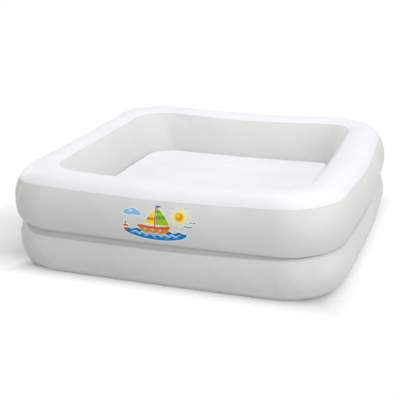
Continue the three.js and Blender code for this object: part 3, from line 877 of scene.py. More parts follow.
def feed(tree, node, inputs):
    """Sets a shader node's inputs to values, or links them to other nodes' outputs."""
    for name, value in inputs.items():
        if isinstance(value, bpy.types.NodeSocket):
            tree.links.new(value, node.inputs[name])
        else:
            node.inputs[name].default_value = value


def add_node(tree, kind, inputs, output=0, **traits):
    """A new shader node. Gives back one of its outputs, if it has any."""
    node = tree.nodes.new(f"ShaderNode{kind}")
    for trait, value in traits.items():
        setattr(node, trait, value)
    feed(tree, node, inputs)
    return node.outputs[output] if node.outputs else None


def add_noise(tree, scale, detail, distortion=0.0):
    """Noise over object coordinates."""
    place = add_node(tree, "TexCoord", {}, "Object")
    inputs = {"Vector": place, "Scale": scale, "Detail": detail, "Distortion": distortion}
    return add_node(tree, "TexNoise", inputs, "Fac")


def add_range(tree, value, low, high, from_low=0.3, from_high=0.7):
    limits = {"From Min": from_low, "From Max": from_high, "To Min": low, "To Max": high}
    return add_node(tree, "MapRange", {"Value": value, **limits}, "Result")


def surface(name, tints, tint_noise, bumps, roughness, gloss=None, specular=0.5, ior=1.5):
    """A skin mottled between a dark and a light tint. A bump is a noise and how far it stands out. The gloss
    is a noise and how far it takes the roughness down and up."""
    material = bpy.data.materials.new(name)
    material.use_nodes = True
    tree = material.node_tree
    share = add_range(tree, add_noise(tree, *tint_noise), 0, 1)
    dark, light = ((*tint, 1) for tint in tints)
    tint = add_node(tree, "Mix", {"Factor": share, "A": dark, "B": light}, "Result", data_type="RGBA")
    look = {"Base Color": tint, "Roughness": roughness, "IOR": ior, "Specular IOR Level": specular}
    if gloss:
        noise, down, up = gloss
        look["Roughness"] = add_range(tree, add_noise(tree, *noise), roughness - down, roughness + up)
    for noise, distance in bumps:
        bump = {"Strength": 1, "Distance": distance, "Height": add_noise(tree, *noise)}
        if "Normal" in look:
            bump["Normal"] = look["Normal"]
        look["Normal"] = add_node(tree, "Bump", bump, "Normal")
    feed(tree, tree.nodes["Principled BSDF"], look)
    return material


def film_material(name, dark, light, crumple=0.3 * MM):
    """White film: a satin skin with a faint grain and soft slack ripples."""
    bumps = [((45, 2, 0.6), crumple), FILM_GRAIN]
    return surface(name, (dark, light), (5, 4), bumps, 0.42, ((14, 3), 0.05, 0.07), specular=0.3)


def plastic_material(name, dark, light, roughness):
    """Moulded soft plastic: milky, with a faint flow pattern."""
    gloss = ((120, 1), 0.03, 0.04)
    return surface(name, (dark, light), (60, 1, 1.5), [MOULD_GRAIN], roughness, gloss, ior=1.52)


def ink_material(name, colour):
    """Printed ink: even colour with a thin gloss and a trace of the film's grain."""
    darker = tuple(channel * 0.93 for channel in colour)
    return surface(name, (darker, colour), (220, 2), [FILM_GRAIN], 0.4, specular=0.16)


# The films differ in tint, cool on the top sheet and warm on the walls. The top sheet's and the floor's films
# are also lighter than the walls' film: painted light on the faces that look up, and painted shade on the
# walls.
cool_film_painted_light = film_material("cool_white_film_painted_light", (0.835, 0.835, 0.885), (0.87, 0.87, 0.91))
warm_film_painted_shade = film_material("warm_white_film_painted_shade", (0.70, 0.70, 0.685), (0.745, 0.745, 0.73))
floor_film = film_material("floor_film", (0.875, 0.88, 0.945), (0.915, 0.915, 0.97), 0.5 * MM)
PLASTICS = {
    "fitting_white": plastic_material("fitting_white", (0.78, 0.785, 0.79), (0.83, 0.835, 0.84), 0.32),
    "valve_plastic": plastic_material("valve_plastic", (0.72, 0.76, 0.80), (0.78, 0.815, 0.845), 0.26),
}


# Film panels

films = {
    "top": Film(top_line(), 1, (WELD_MARGIN, WELD_MARGIN), top_relief, [at_seam(START, crease_stray)]),
    "upper_outer": Film(
        upper_outer_line(), -1, (WELD_MARGIN, 0), upper_outer_relief,
        [at_seam(START, crease_stray), at_seam(END, groove_stray)],
    ),
    "upper_inner": Film(
        upper_inner_line(), -1, (WELD_MARGIN, WELD_MARGIN), upper_inner_relief, [at_seam(END, basin_stray)],
    ),
    "lower_outer": Film(
        lower_outer_line(), -1, (0, WELD_MARGIN), lower_outer_relief,
        [at_seam(START, groove_stray), at_seam(END, foot_stray, 12 * MM), shoulder_shift],
    ),
}


def add_panel(name, mesh, material, node):
    piece = add_object(name, mesh, material)
    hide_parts(node)
    return piece


def add_panels():
    # The top sheet and the floor take the lighter films, painted light; the walls and the base take the
    # darker film, painted shade.
    add_panel("top_sheet_film", film_mesh(films["top"]), cool_film_painted_light, "top_sheet")
    for ring in ("upper", "lower"):
        wall = film_mesh(films[f"{ring}_outer"], VALVE_RUNS[ring])
        add_panel(f"{ring}_outer_film", wall, warm_film_painted_shade, f"{ring}_outer_wall")
    add_panel("inner_wall_film", film_mesh(films["upper_inner"]), warm_film_painted_shade, "upper_inner_wall")
    floor = floor_mesh([
        (middle_of("floor_valve_flange"), HOLE_RADIUS, HOLE_CELLS),
        (drain_middle, DRAIN_HOLE_RADIUS, HOLE_CELLS),
    ])
    add_panel("floor_film_panel", floor, floor_film, "floor_top_sheet")
    add_panel("base_film", base_mesh((drain_middle, DRAIN_BORE, BASE_HOLE_CELLS)), warm_film_painted_shade, "base_sheet")


# Small solids: turned profiles, straps, and their joins

def rounded(points, radius, closed=True, steps=3):
    """A line in a plane with its corners rounded off. A corner's own radius may follow its coordinates."""
    spots = [np.array(point[:2], float) for point in points]
    line = []
    for number, (point, corner) in enumerate(zip(points, spots)):
        if not closed and number in (0, len(points) - 1):
            line.append(corner)
            continue
        before, after = spots[number - 1], spots[(number + 1) % len(points)]
        wanted = point[2] if len(point) > 2 else radius
        reach = min(wanted, 0.45 * np.hypot(*(before - corner)), 0.45 * np.hypot(*(after - corner)))
        start, end = (corner + unit(other - corner) * reach for other in (before, after))
        line.extend(bend(start, corner, end, steps))
    return np.array(line)


def turned_mesh(profile, facets):
    """A solid of revolution round Z. The profile closes on itself, or starts and ends on the axis."""
    on_axis = profile[0][0] == 0
    angles = np.arange(facets) * 2 * math.pi / facets
    body = profile[1:-1] if on_axis else profile
    points = np.stack([
        body[:, 0, None] * np.cos(angles),
        body[:, 0, None] * np.sin(angles),
        np.repeat(body[:, 1, None], facets, 1),
    ], -1).reshape(-1, 3).tolist()
    numbers = np.arange(len(points)).reshape(-1, facets)
    faces = loop_faces(numbers, np.roll(numbers, -1, 0))
    if on_axis:
        faces = faces[:-1]
    faces = faces.reshape(-1, 4).tolist()
    if on_axis:
        for end, row in ((profile[0], numbers[0]), (profile[-1], numbers[-1])):
            tip = len(points)
            points.append((0, 0, end[1]))
            faces += [(tip, first, second) for first, second in zip(row.tolist(), np.roll(row, -1).tolist())]
    return new_mesh(points, faces)


def strap_mesh(path, widths, thickness):
    """A flat strap with rounded edges along a path in the YZ plane, as wide as it is told at each point."""
    path = np.array(path, float)
    half = thickness / 2
    points = []
    for spot, right, width in zip(path, sideways(path), widths):
        side = width / 2
        ring = rounded([(-side, -half), (side, -half), (side, half), (-side, half)], half * 0.9)
        points += [(across, *(spot - right * up)) for across, up in ring]
    numbers = np.arange(len(points)).reshape(len(path), -1)
    faces = loop_faces(numbers[:-1], numbers[1:]).reshape(-1, 4).tolist()
    faces += [numbers[0][::-1].tolist(), numbers[-1].tolist()]
    return new_mesh(points, faces)


def joined(meshes):
    """One closed mesh out of several that overlap."""
    holders = [link_object("part", faced_out(mesh)) for mesh in meshes]
    for other in holders[1:]:
        union = holders[0].modifiers.new("union", "BOOLEAN")
        union.operation = "UNION"
        union.solver = "EXACT"
        union.object = other
    graph = bpy.context.evaluated_depsgraph_get()
    mesh = bpy.data.meshes.new_from_object(holders[0].evaluated_get(graph))
    for holder in holders:
        bpy.data.objects.remove(holder)
    return mesh


SHARP_ANGLE = math.radians(38)


def add_fitting(name, mesh, place, slot, body, node):
    mesh.transform(place)
    piece = add_object(name, mesh, PLASTICS[slot], body)
    piece.data.set_sharp_from_angle(angle=SHARP_ANGLE)
    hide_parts(node)


# Valve, along its own axis: 0 is the film and positive is outwards. Its strap hangs towards -Y.
VALVE_MOUTH = 11.6 * MM
VALVE_FLANGE = 15 * MM
VALVE_LIP = 17.4 * MM
VALVE_LIP_TOP = 0.4 * MM
VALVE_RIM_TOP = 0.62 * MM
VALVE_DEPTH = 1.6 * MM
FLANGE_TOP = 0.5 * MM
WELD_GROOVE = 0.16 * MM
WELD_SINK = 0.06 * MM
BOOT_WALL = 0.8 * MM
BOOT_DEPTH = 13 * MM
STEM = 6 * MM
STEM_BORE = 3.6 * MM
STEM_TOP = -0.4 * MM
STEM_DEPTH = 14 * MM
STEM_SEAT = 7.5 * MM
STEM_SEAT_THICKNESS = 1.2 * MM
STEM_RIB = 0.35 * MM
FLAP = 4.8 * MM
FLAP_THICKNESS = 0.8 * MM
FLAP_HINGE_REACH = 5.4 * MM
FLAP_HINGE_WIDTH = 3.4 * MM
GAP = 0.3 * MM

# Plugs: bore, pin length and taper, cap radius, thickness and how far its top is sunk inside its rim, strap
# width, thickness and end, reach from the hinge line to the bore's middle, lift tab length and width
VALVE_PLUG = {
    "bore": STEM_BORE, "pin": 5 * MM, "taper": 1.1 * MM,
    "cap": 7.2 * MM, "cap_thickness": 1.6 * MM, "dish": 0.35 * MM,
    "strap_width": 5 * MM, "strap": 0.8 * MM, "strap_end": 0.4 * MM, "reach": 8.9 * MM,
    "tab": 1.8 * MM, "tab_width": 4 * MM,
}
DRAIN_PLUG = {
    "bore": DRAIN_BORE, "pin": 10 * MM, "taper": 1.5 * MM,
    "cap": 19 * MM, "cap_thickness": 2 * MM, "dish": 0.6 * MM,
    "strap_width": 12 * MM, "strap": 1 * MM, "strap_end": 0.5 * MM, "reach": 22.5 * MM,
    "tab": 5 * MM, "tab_width": 12 * MM,
}
DRAIN_WALL = 3 * MM
DRAIN_FOOT = 26 * MM
DRAIN_FOOT_THICKNESS = 1.2 * MM
DRAIN_RIM = 25 * MM
DRAIN_RIM_THICKNESS = 1.5 * MM
DRAIN_GROOVE = 0.3 * MM

# Rounds of the fittings' edges
EDGE = 0.25 * MM
FINE_EDGE = 0.15 * MM


def grooved(start, end, height, depth, count=3):
    """Profile points of round weld grooves between two radii, from the outer one inwards."""
    step = (start - end) / (2 * count + 1)
    points = []
    for number in range(count):
        outer = start - step * (2 * number + 1)
        points += [(outer, height), (outer - step * 0.25, height - depth)]
        points += [(outer - step * 0.75, height - depth), (outer - step, height)]
    return points


def flange_mesh():
    """Ring welded to the film: its lip lies on the film and carries three fine weld grooves."""
    return turned_mesh(rounded([
        (VALVE_MOUTH, -VALVE_DEPTH), (VALVE_FLANGE, -VALVE_DEPTH),
        (VALVE_FLANGE, -WELD_SINK), (VALVE_LIP, -WELD_SINK),
        (VALVE_LIP, VALVE_LIP_TOP * 0.5), (VALVE_LIP - EDGE, VALVE_LIP_TOP),
        *grooved(VALVE_LIP - 2 * EDGE, VALVE_FLANGE - 2 * EDGE, VALVE_LIP_TOP, WELD_GROOVE),
        (VALVE_FLANGE - 4 * EDGE, VALVE_LIP_TOP), (VALVE_FLANGE - 5 * EDGE, VALVE_RIM_TOP),
        (VALVE_MOUTH, VALVE_RIM_TOP, 2 * EDGE),
    ], FINE_EDGE), 96)


def boot_mesh():
    """Soft funnel from the flange's mouth down to the stem's root."""
    fall = np.linspace(0, 1, 15)
    draw = np.interp(fall, [0, 0.26, 0.58, 0.85, 1], [0, 0.1, 0.4, 0.8, 1])
    draw = np.convolve(np.pad(draw, 2, "edge"), np.array([1, 2, 3, 2, 1]) / 9, "valid")
    lip = VALVE_MOUTH - GAP / 2 - BOOT_WALL / 2
    root = STEM + GAP / 2 + BOOT_WALL / 2
    line = np.stack([lip + (root - lip) * draw, STEM_TOP - BOOT_DEPTH * fall], -1)
    way_out = sideways(line) * BOOT_WALL / 2
    return turned_mesh(np.concatenate([line + way_out, (line - way_out)[::-1]]), 64)


def stem_mesh():
    """Tube with its seat for the plug, two grip ribs, and the tongue that carries the plug's strap."""
    seat_bottom = STEM_TOP - STEM_SEAT_THICKNESS
    profile = [(STEM_BORE, -STEM_DEPTH, EDGE), (STEM, -STEM_DEPTH, EDGE)]
    for share in (0.75, 0.55):
        middle = -STEM_DEPTH * share
        profile += [(STEM, middle - 2 * EDGE), (STEM + STEM_RIB, middle - EDGE)]
        profile += [(STEM + STEM_RIB, middle + EDGE), (STEM, middle + 2 * EDGE)]
    profile += [
        (STEM, seat_bottom), (STEM_SEAT, seat_bottom, EDGE), (STEM_SEAT, STEM_TOP, 2 * EDGE),
        (STEM_BORE + 2 * EDGE, STEM_TOP, EDGE), (STEM_BORE, STEM_TOP - 2 * EDGE),
        (STEM_BORE, -STEM_DEPTH * 0.22), (STEM_BORE - EDGE, -STEM_DEPTH * 0.25),
        (STEM_BORE, -STEM_DEPTH * 0.28),
    ]
    end = -VALVE_PLUG["reach"] - VALVE_PLUG["strap_end"]
    reach = np.linspace(end, -STEM * 0.85, 10)
    past = np.clip((end + EDGE * 4 - reach) / (EDGE * 4), 0, 0.96)
    widths = VALVE_PLUG["strap_width"] * np.sqrt(1 - past ** 2)
    path = [(y, (seat_bottom + STEM_TOP) / 2) for y in reach]
    tongue = strap_mesh(path, widths, STEM_SEAT_THICKNESS * 0.94)
    return joined([turned_mesh(rounded(profile, FINE_EDGE), 64), tongue])


def flap_mesh():
    """Thin round flap with its hinge tab; its origin is on the hinge line."""
    half = FLAP_THICKNESS / 2
    disc = turned_mesh(rounded([
        (0, -half), (FLAP, -half), (FLAP, half),
        (FLAP * 0.8, half), (FLAP * 0.74, half * 0.5), (0, half * 0.5),
    ], FINE_EDGE, closed=False), 48)
    disc.transform(Matrix.Translation((0, -FLAP_HINGE_REACH, 0)))
    path = [(y, 0) for y in np.linspace(-FLAP_HINGE_REACH * 0.6, half, 7)]
    tab = strap_mesh(path, [FLAP_HINGE_WIDTH] * len(path), FLAP_THICKNESS * 0.98)
    return joined([disc, tab])


def plug_mesh(size):
    """Cap with its pin, strap, hinge roll and lift tab. Its origin is on the hinge line, and it closes
    towards +Y."""
    strap, cap, bore, reach = size["strap"], size["cap"], size["bore"], size["reach"]
    taper, dish, width = size["taper"], size["dish"], size["strap_width"]
    bottom = -strap / 2
    tip = bottom - size["pin"]
    top = bottom + size["cap_thickness"]
    pin = bore - GAP
    body = turned_mesh(rounded([
        (0, tip),
        (pin - taper, tip, strap * 0.6),
        (pin - taper * 0.35, bottom - size["pin"] * 0.66),
        (pin, bottom - size["pin"] * 0.5),
        (pin - taper * 0.25, bottom - size["pin"] * 0.36),
        (pin, bottom),
        (cap, bottom, EDGE),
        (cap, top - strap * 0.6, strap * 0.5),
        (cap - strap * 0.7, top, strap * 0.5),
        (cap * 0.8, top, EDGE),
        (cap * 0.74, top - dish, EDGE * 2),
        (cap * 0.3, top - dish, EDGE * 4),
        (cap * 0.16, top - dish * 1.8, EDGE * 2),
        (0, top - dish * 1.8),
    ], EDGE, closed=False), 96)
    body.transform(Matrix.Translation((0, reach, 0)))
    strap_reach = np.linspace(-size["strap_end"], reach - bore * 0.8, 14)
    waist = 1 - 0.28 * np.exp(-((strap_reach - strap) / (1.6 * strap)) ** 2)
    band = strap_mesh([(y, 0) for y in strap_reach], width * waist, strap * 0.96)
    tab_reach = np.linspace(reach + bore, reach + cap + size["tab"], 12)
    past = np.clip((tab_reach - reach - cap) / size["tab"], 0, 0.985)
    tab_path = np.stack([tab_reach, strap * 0.9 * past ** 2], -1)
    tab = strap_mesh(tab_path, size["tab_width"] * np.sqrt(1 - past ** 3), strap * 0.98)
    half, radius = width * 0.36, strap * 0.72
    rim = [(0, -half), (radius, -half), (radius, half), (0, half)]
    roll = turned_mesh(rounded(rim, EDGE, closed=False), 24)
    roll.transform(Matrix.Rotation(math.pi / 2, 4, "Y"))
    return joined([body, band, tab, roll])


def drain_sleeve_mesh():
    """Tube through the floor's chamber: its foot is on the base film, its grooved rim on the floor's film."""
    low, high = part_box("drain_sleeve")
    height = high.z - low.z
    tube = DRAIN_BORE + DRAIN_WALL
    rim_sunk = FLOOR_MIDDLE - WELD_SINK - low.z
    rim_side = height - DRAIN_RIM_THICKNESS * 0.65
    groove_top = height - DRAIN_GROOVE * 0.5
    return turned_mesh(rounded([
        (DRAIN_BORE, 0, EDGE), (DRAIN_FOOT, 0, EDGE), (DRAIN_FOOT, DRAIN_FOOT_THICKNESS, EDGE),
        (tube, DRAIN_FOOT_THICKNESS, 2 * EDGE), (tube, rim_sunk), (DRAIN_RIM, rim_sunk),
        (DRAIN_RIM, rim_side, 2 * EDGE), (DRAIN_RIM - 4 * EDGE, groove_top, 2 * EDGE),
        *grooved(DRAIN_RIM - 5 * EDGE, DRAIN_BORE + 6 * MM, groove_top, DRAIN_GROOVE),
        (DRAIN_BORE + 5 * MM, height, 2 * EDGE), (DRAIN_BORE, height, 2 * EDGE),
        (DRAIN_BORE, height * 0.93), (DRAIN_BORE - 2 * EDGE, height * 0.925), (DRAIN_BORE, height * 0.92),
    ], FINE_EDGE), 96)


def valve_frame(chamber):
    """From a valve's own frame to the object's, found from the flange's box."""
    low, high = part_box(f"{chamber}_valve_flange")
    x, y, z = (low + high) / 2
    if chamber == "floor":
        return Matrix.Translation((x, y, high.z - FLANGE_TOP))
    turn = Matrix(((-1, 0, 0), (0, 0, 1), (0, 1, 0))).to_4x4()
    return Matrix.Translation((x, high.y - FLANGE_TOP, z)) @ turn


def add_valve(chamber):
    place = valve_frame(chamber)
    node = f"{chamber}_valve_"
    flap = place @ Matrix.Translation((0, FLAP_HINGE_REACH, -STEM_DEPTH - GAP - FLAP_THICKNESS / 2))
    plug = place @ Matrix.Translation((0, -VALVE_PLUG["reach"], STEM_TOP + GAP + VALVE_PLUG["strap"] / 2))
    for part, mesh, spot, slot, body, replaced in (
        ("ring", flange_mesh(), place, "fitting_white", "tub", "flange"),
        ("tube", stem_mesh(), place, "valve_plastic", f"{chamber}_stem", "stem"),
        ("flap_disc", flap_mesh(), flap, "valve_plastic", f"{chamber}_flap", "check_flap"),
        ("cap", plug_mesh(VALVE_PLUG), plug, "valve_plastic", f"{chamber}_plug", "plug"),
    ):
        add_fitting(node + part, mesh, spot, slot, body, node + replaced)
    boot = boot_mesh()
    boot.transform(place)
    piece = add_object(f"{node}funnel", boot, PLASTICS["fitting_white"], None)
    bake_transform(piece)
    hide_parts(f"{node}boot")


def add_drain():
    low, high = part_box("drain_sleeve")
    x, y, _ = drain_middle
    place = Matrix.Translation((x, y, low.z))
    add_fitting("drain_collar", drain_sleeve_mesh(), place, "fitting_white", "tub", "drain_sleeve")
    hinge = Matrix.Translation((x, y - DRAIN_PLUG["reach"], high.z + GAP + DRAIN_PLUG["strap"] / 2))
    add_fitting("drain_cap", plug_mesh(DRAIN_PLUG), hinge, "valve_plastic", "drain_plug", "drain_plug")


# Print on the front: flat shapes of ink, laid on the upper ring's film. Lengths here are in MM, x to the
# right and y up from the print's middle.

PRINT_PLACE = 0.313
PRINT_RUN = 60 * MM
FRONT_METRES = (2 * RING_HALF - OUTER_CORNERS[3] - OUTER_CORNERS[0]) / STRAIGHT_SHARE
INK_LIFT = 0.12 * MM
INK_STEP = 0.07 * MM
INK_SINK = 0.1 * MM
HALO = 3
HALO_LEAST = 12
INK_CELL = 4
SEA_WAVE = 26
FRONT_WAVE = 18
SUN = (58, 21)
RAYS = 11

# Each sail: foot, height, side of the mast, how full its edge is, and how high its foot lies
RIGHT_SAIL = (33, 43, 1, 6, -3)
LEFT_SAIL = (23, 36, -1, 5, -2)


def oval(x, y, width, height):
    turned = np.arange(48) * 2 * math.pi / 48
    return np.stack([x + width / 2 * np.cos(turned), y + height / 2 * np.sin(turned)], -1)


def stroke(path, widths):
    """Outline of a brush stroke along a path, with a width at each point."""
    path = np.array(path, float)
    aside = sideways(path) * np.array(widths)[:, None] / 2
    return np.concatenate([path - aside, (path + aside)[::-1]])


def between(x, top, bottom):
    """Outline between two lines over the same x."""
    return np.concatenate([np.stack([x, top], -1), np.stack([x, bottom], -1)[::-1]])


def cloud(x, y, size):
    """Three round heads over a flat foot."""
    across = np.linspace(-1.28, 1.28, 41)
    heads = [(-0.78, 0.5), (0, 0.78), (0.76, 0.46)]
    tops = [np.sqrt(np.clip(radius ** 2 - (across - middle) ** 2, 0, None)) for middle, radius in heads]
    top = np.max(tops, axis=0)
    return np.array([x, y]) + size * between(across, top, -0.22 * np.sqrt(1 - (across / 1.4) ** 4))


def ray(angle):
    path = np.array([SUN]) + np.outer(np.linspace(15.5, 23.5, 5), [math.cos(angle), math.sin(angle)])
    return rounded(stroke(path, np.linspace(3.2, 1.6, 5)), 0.7, steps=2)


def sail_edge(sail, from_mast, rise):
    """Points on a sail's full outer edge, at these shares of its height."""
    foot, height, way, fullness, lift = sail
    across = way * (from_mast + foot * (1 - rise ** 1.35))
    return np.stack([across, lift + height * rise + fullness * np.sin(math.pi * rise) * 0.3], -1)


def whole_sail(sail):
    """A sail beside the mast: its outer edge is a full curve from the foot's end to the mast's top."""
    _, _, way, _, lift = sail
    edge = sail_edge(sail, 1.5, np.linspace(0, 1, 15))
    return rounded(np.concatenate([edge, [[way * 1.5, lift - 1]]]), 0.8, steps=2)


def sail_band(sail, low, high):
    """A coloured band across a sail, between two shares of its height."""
    _, height, way, _, lift = sail
    inner = [[way * 1.9, lift + height * share] for share in (high, low)]
    return np.concatenate([sail_edge(sail, 1.1, np.linspace(low, high, 7)), inner])


def grown(outline):
    """The outline a little larger all round, for the white ink under a motif."""
    along = np.roll(outline, -1, 0) - np.roll(outline, 1, 0)
    along = along / np.maximum(np.hypot(*along.T), 1e-9)[:, None]
    turning = np.roll(outline, -1, 0) - outline
    area = (outline[:, 0] * turning[:, 1] - outline[:, 1] * turning[:, 0]).sum()
    return outline + math.copysign(HALO, area) * np.stack([along[:, 1], -along[:, 0]], -1)


def sea():
    x = np.linspace(-78, 76, 78)
    depth = np.sqrt(np.clip(1 - ((x + 1) / 78) ** 2, 0, 1))
    top = -19 + 2.2 * np.sin(2 * math.pi * x / SEA_WAVE) * np.minimum(depth * 2, 1)
    return between(x, top, -21 - 23 * depth)


def hull():
    """The boat's hull: a low stern at the left and a raised bow at the right."""
    deck = [(-45, -5), (-20, -8.5), (10, -8.5), (39, -3)]
    return rounded(deck + [(31, -19), (20, -27), (-26, -27), (-38, -19)], 6)


def hull_stripe():
    x = np.linspace(-43, 36, 40)
    sheer = -7.2 - 2.4 * np.cos((x + 3) / 40 * math.pi / 2)
    return between(x, sheer - 1.2, sheer - 4.6)


def front_wave():
    """The wave before the boat, and its white crest."""
    x = np.linspace(-62, 62, 94)
    top = -25 + 2.3 * np.sin(2 * math.pi * x / FRONT_WAVE)
    wave = between(x, top, top - 1 - 7.5 * np.sqrt(1 - (x / 63) ** 2))
    inner = slice(6, -6)
    return wave, between(x[inner], top[inner] - 0.9, top[inner] - 2.3)


def bird(x, y, size):
    wing = [(0, 0), (3.4, 2.6), (6.6, 2.2), (8.6, -0.6)]
    path = np.array([[-spread, rise] for spread, rise in wing[:0:-1]] + wing) * size + np.array([x, y])
    return stroke(path, np.array([0.9, 1.7, 2.2, 1.5, 2.2, 1.7, 0.9]) * size)


def print_shapes():
    """Ink, layer and outline of every shape, from the back to the front."""
    wave, crest = front_wave()
    shapes = [("blue", 0, sea()), ("sky", 0, cloud(-57, 19, 17)), ("white", 1, oval(-61, 25, 9, 5))]
    shapes += [("yellow", 0, ray(2 * math.pi * number / RAYS + 0.2)) for number in range(RAYS)]
    shapes += [
        ("yellow", 0, oval(*SUN, 27, 27)), ("orange", 1, oval(*SUN, 17, 17)),
        ("yellow", 2, oval(56, 23.5, 9, 8)), ("green", 1, whole_sail(RIGHT_SAIL)),
        ("leaf", 2, sail_band(RIGHT_SAIL, 0.3, 0.5)), ("leaf", 2, sail_band(RIGHT_SAIL, 0.66, 0.8)),
        ("yellow", 1, whole_sail(LEFT_SAIL)), ("orange", 2, sail_band(LEFT_SAIL, 0.22, 0.42)),
        ("rust", 3, stroke([(0, -9), (0, 10), (0, 30), (0, 45)], [2.8, 2.6, 2.3, 2])),
        ("blue", 3, rounded([(1, 45), (14, 41.5), (1, 37.5)], 1)),
        ("orange", 1, hull()), ("rust", 2, hull_stripe()),
    ]
    for middle in (-24, -6, 12):
        shapes += [("sky", 3, oval(middle, -17, 7, 6)), ("white", 4, oval(middle + 1, -15.9, 2.6, 2))]
    shapes += [("sky", 4, wave), ("white", 5, crest)]
    for x, y in ((-50, -31), (-30, -37), (-6, -39), (20, -38.5), (43, -33)):
        shapes.append(("sky", 1, stroke([(x, y), (x + 5, y + 1.6), (x + 10, y)], [0.9, 2.2, 0.9])))
    shapes += [
        ("blue", 0, bird(80, -4, 1.25)), ("blue", 0, bird(90, 8, 1)),
        ("rust", 1, rounded([(-80, -11), (-66, -11), (-69.5, -25), (-76.5, -25)], 3)),
        ("white", 2, between([-78.2, -67.8], [-15.2, -15.2], [-19, -19])),
        ("leaf", 1, rounded([(-75, -9.5), (-71, -9.5), (-71.6, -2), (-74.4, -2)], 1)),
    ]
    backs = [shape for shape in shapes if len(shape[2]) > HALO_LEAST and shape[1] < 2 and shape[0] != "white"]
    return [("halo", -1, grown(outline)) for ink, layer, outline in backs] + shapes


INKS = {
    "halo": (0.88, 0.89, 0.90),
    "blue": (0.002, 0.22, 0.56),
    "sky": (0.24, 0.60, 0.90),
    "green": (0.36, 0.62, 0.03),
    "leaf": (0.17, 0.42, 0.02),
    "yellow": (0.95, 0.80, 0.04),
    "orange": (0.88, 0.28, 0.012),
    "rust": (0.66, 0.10, 0.01),
    "white": (0.90, 0.91, 0.92),
}


def ink_part(outline, layer, points, faces):
    """Adds one shape's sheet, closed on itself, to a list of points and faces."""
    low, high = outline.min(0), outline.max(0)
    across, up = (np.arange(low[axis] + 1, high[axis], INK_CELL) for axis in (0, 1))
    spots = [Vector(spot) for spot in outline.tolist() + [(x, y) for x in across for y in up]]
    corners = list(range(len(outline)))
    edges = list(zip(corners, corners[1:] + corners[:1]))
    spots, _, triangles, *_ = delaunay_2d_cdt(spots, edges, [corners], 1, 1e-5)
    flat = np.array([tuple(spot) for spot in spots])
    place = PRINT_PLACE + flat[:, 0] * MM / FRONT_METRES
    run = PRINT_RUN - flat[:, 1] * MM
    film = films["upper_outer"]
    start = len(points)
    above = start + len(flat)
    points += film.point(place, run, INK_LIFT + INK_STEP * layer).tolist()
    points += film.point(place, run, -INK_SINK).tolist()
    sides = {}
    for triangle in triangles:
        faces.append([start + number for number in triangle])
        faces.append([above + number for number in reversed(triangle)])
        for first, second in zip(triangle, triangle[1:] + triangle[:1]):
            if sides.pop((second, first), None) is None:
                sides[(first, second)] = True
    for first, second in sides:
        faces.append([start + second, start + first, above + first, above + second])


def add_print():
    for ink, colour in INKS.items():
        points, faces = [], []
        for name, layer, outline in print_shapes():
            if name == ink:
                ink_part(outline, layer, points, faces)
        piece = add_object(f"print_{ink}", new_mesh(points, faces), ink_material(f"ink_{ink}", colour))
        piece.data.set_sharp_from_angle(angle=SHARP_ANGLE)


# Stage and light

STAGE_HALF = 4
STAGE_BELOW = 0.5 * MM
FLOOR_SHADE = 0.42
FLOOR_GLOW = 0.025
FLOOR_SHOWN_SHADE = 0.92
SHADOW_MIDDLE = (-0.48, -0.17, 0)
SHADOW_FADE = (0.14, 0.28)
CONTACT_FADE = (0.37, 0.434)
FILL = 0.45


def grey(shade):
    return (shade, shade, shade, 1)


def add_math(tree, operation, *values):
    return add_node(tree, "Math", dict(enumerate(values)), operation=operation)


def add_mix(tree, share, first, second):
    return add_node(tree, "MixShader", {0: share, 1: first, 2: second})


def seen_rays(tree):
    """1 for rays that show the background: from the camera, and in gloss and glass."""
    camera, gloss, glass = (
        add_node(tree, "LightPath", {}, f"Is {kind} Ray") for kind in ("Camera", "Glossy", "Transmission")
    )
    return add_math(tree, "MAXIMUM", add_math(tree, "MAXIMUM", camera, gloss), glass)


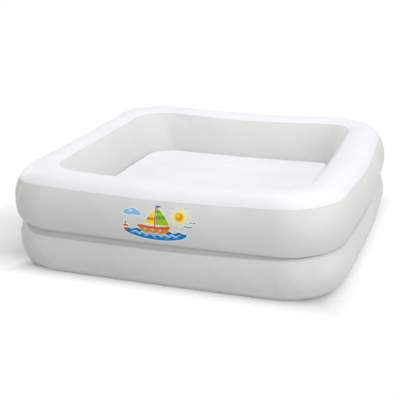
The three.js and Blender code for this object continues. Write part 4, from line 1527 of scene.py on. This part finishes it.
def floor_material():
    """A pale floor that shows the shadow beside and under the tub, and melts into white further out."""
    material = bpy.data.materials.new("studio_floor")
    material.use_nodes = True
    tree = material.node_tree
    tree.nodes.clear()
    lit = add_node(tree, "AddShader", {
        0: add_node(tree, "BsdfDiffuse", {"Color": grey(FLOOR_SHADE)}),
        1: add_node(tree, "Emission", {"Color": grey(FLOOR_GLOW)}),
    })
    shown = add_node(tree, "BsdfDiffuse", {"Color": grey(FLOOR_SHOWN_SHADE)})
    place = add_node(tree, "TexCoord", {}, "Object")
    away = add_node(tree, "VectorMath", {0: place, 1: SHADOW_MIDDLE}, "Value", operation="DISTANCE")
    across, along = (
        add_math(tree, "ABSOLUTE", add_node(tree, "SeparateXYZ", {"Vector": place}, axis)) for axis in "XY"
    )
    outside = add_math(tree, "MAXIMUM", across, along)
    beside = add_range(tree, away, 0, 1, *SHADOW_FADE)
    under = add_range(tree, outside, 0, 1, *CONTACT_FADE)
    floor = add_mix(tree, seen_rays(tree), lit, shown)
    clear = add_node(tree, "BsdfTransparent", {})
    fade = add_mix(tree, add_math(tree, "MINIMUM", beside, under), floor, clear)
    add_node(tree, "OutputMaterial", {"Surface": fade})
    return material


def add_floor_stage():
    corners = [(-1, -1), (1, -1), (1, 1), (-1, 1)]
    mesh = new_mesh([(x * STAGE_HALF, y * STAGE_HALF, -STAGE_BELOW) for x, y in corners], [(0, 1, 2, 3)])
    mesh.materials.append(floor_material())
    link_object("studio_floor", mesh)


def add_world():
    """White for the rays that show the background, and a soft fill for all others."""
    world = bpy.data.worlds.new("studio")
    bpy.context.scene.world = world
    world.use_nodes = True
    tree = world.node_tree
    tree.nodes.clear()
    fill, shown = (
        add_node(tree, "Background", {"Color": grey(1), "Strength": strength}) for strength in (FILL, 1)
    )
    add_node(tree, "OutputWorld", {"Surface": add_mix(tree, seen_rays(tree), fill, shown)})


LAMP_AIM = Vector((0, 0, 0.15))


def add_lamp(name, place, size, watts):
    """A round lamp that is aimed at the tub."""
    light = bpy.data.lights.new(name, "AREA")
    light.shape = "DISK"
    light.size = size
    light.energy = watts
    away = Vector(place) - LAMP_AIM
    turn = away.to_track_quat("Z", "Y").to_matrix().to_4x4()
    link_object(name, light).matrix_world = Matrix.Translation(place) @ turn


def add_lights():
    add_lamp("overhead_lamp", (0.2, 0.3, 2.4), 2.4, 26)
    add_lamp("key_lamp", (1.88, -1.58, 1.72), 1.8, 5)
    add_lamp("side_lamp", (2.85, -0.45, 0.8), 1.8, 15)
    add_lamp("low_lamp", (2.07, -2.07, 0.62), 1.6, 12)
    add_lamp("front_lamp", (0, -2.72, 1.27), 1.8, 12)
    add_lamp("rim_lamp", (-2.52, 1.18, 1.12), 1.4, 11)


scene = bpy.context.scene
scene.view_settings.view_transform = "Standard"
camera_from_photo()
add_floor_stage()
add_world()
add_lights()
add_panels()
for chamber in ("upper", "lower", "floor"):
    add_valve(chamber)
add_drain()
add_print()

# Nodes of the frame that no piece replaces
for node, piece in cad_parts.items():
    if not piece.hide_render:
        is_film = node.endswith(("_sheet", "_wall")) or "web" in node
        piece.data.materials.clear()
        piece.data.materials.append(warm_film_painted_shade if is_film else PLASTICS["valve_plastic"])
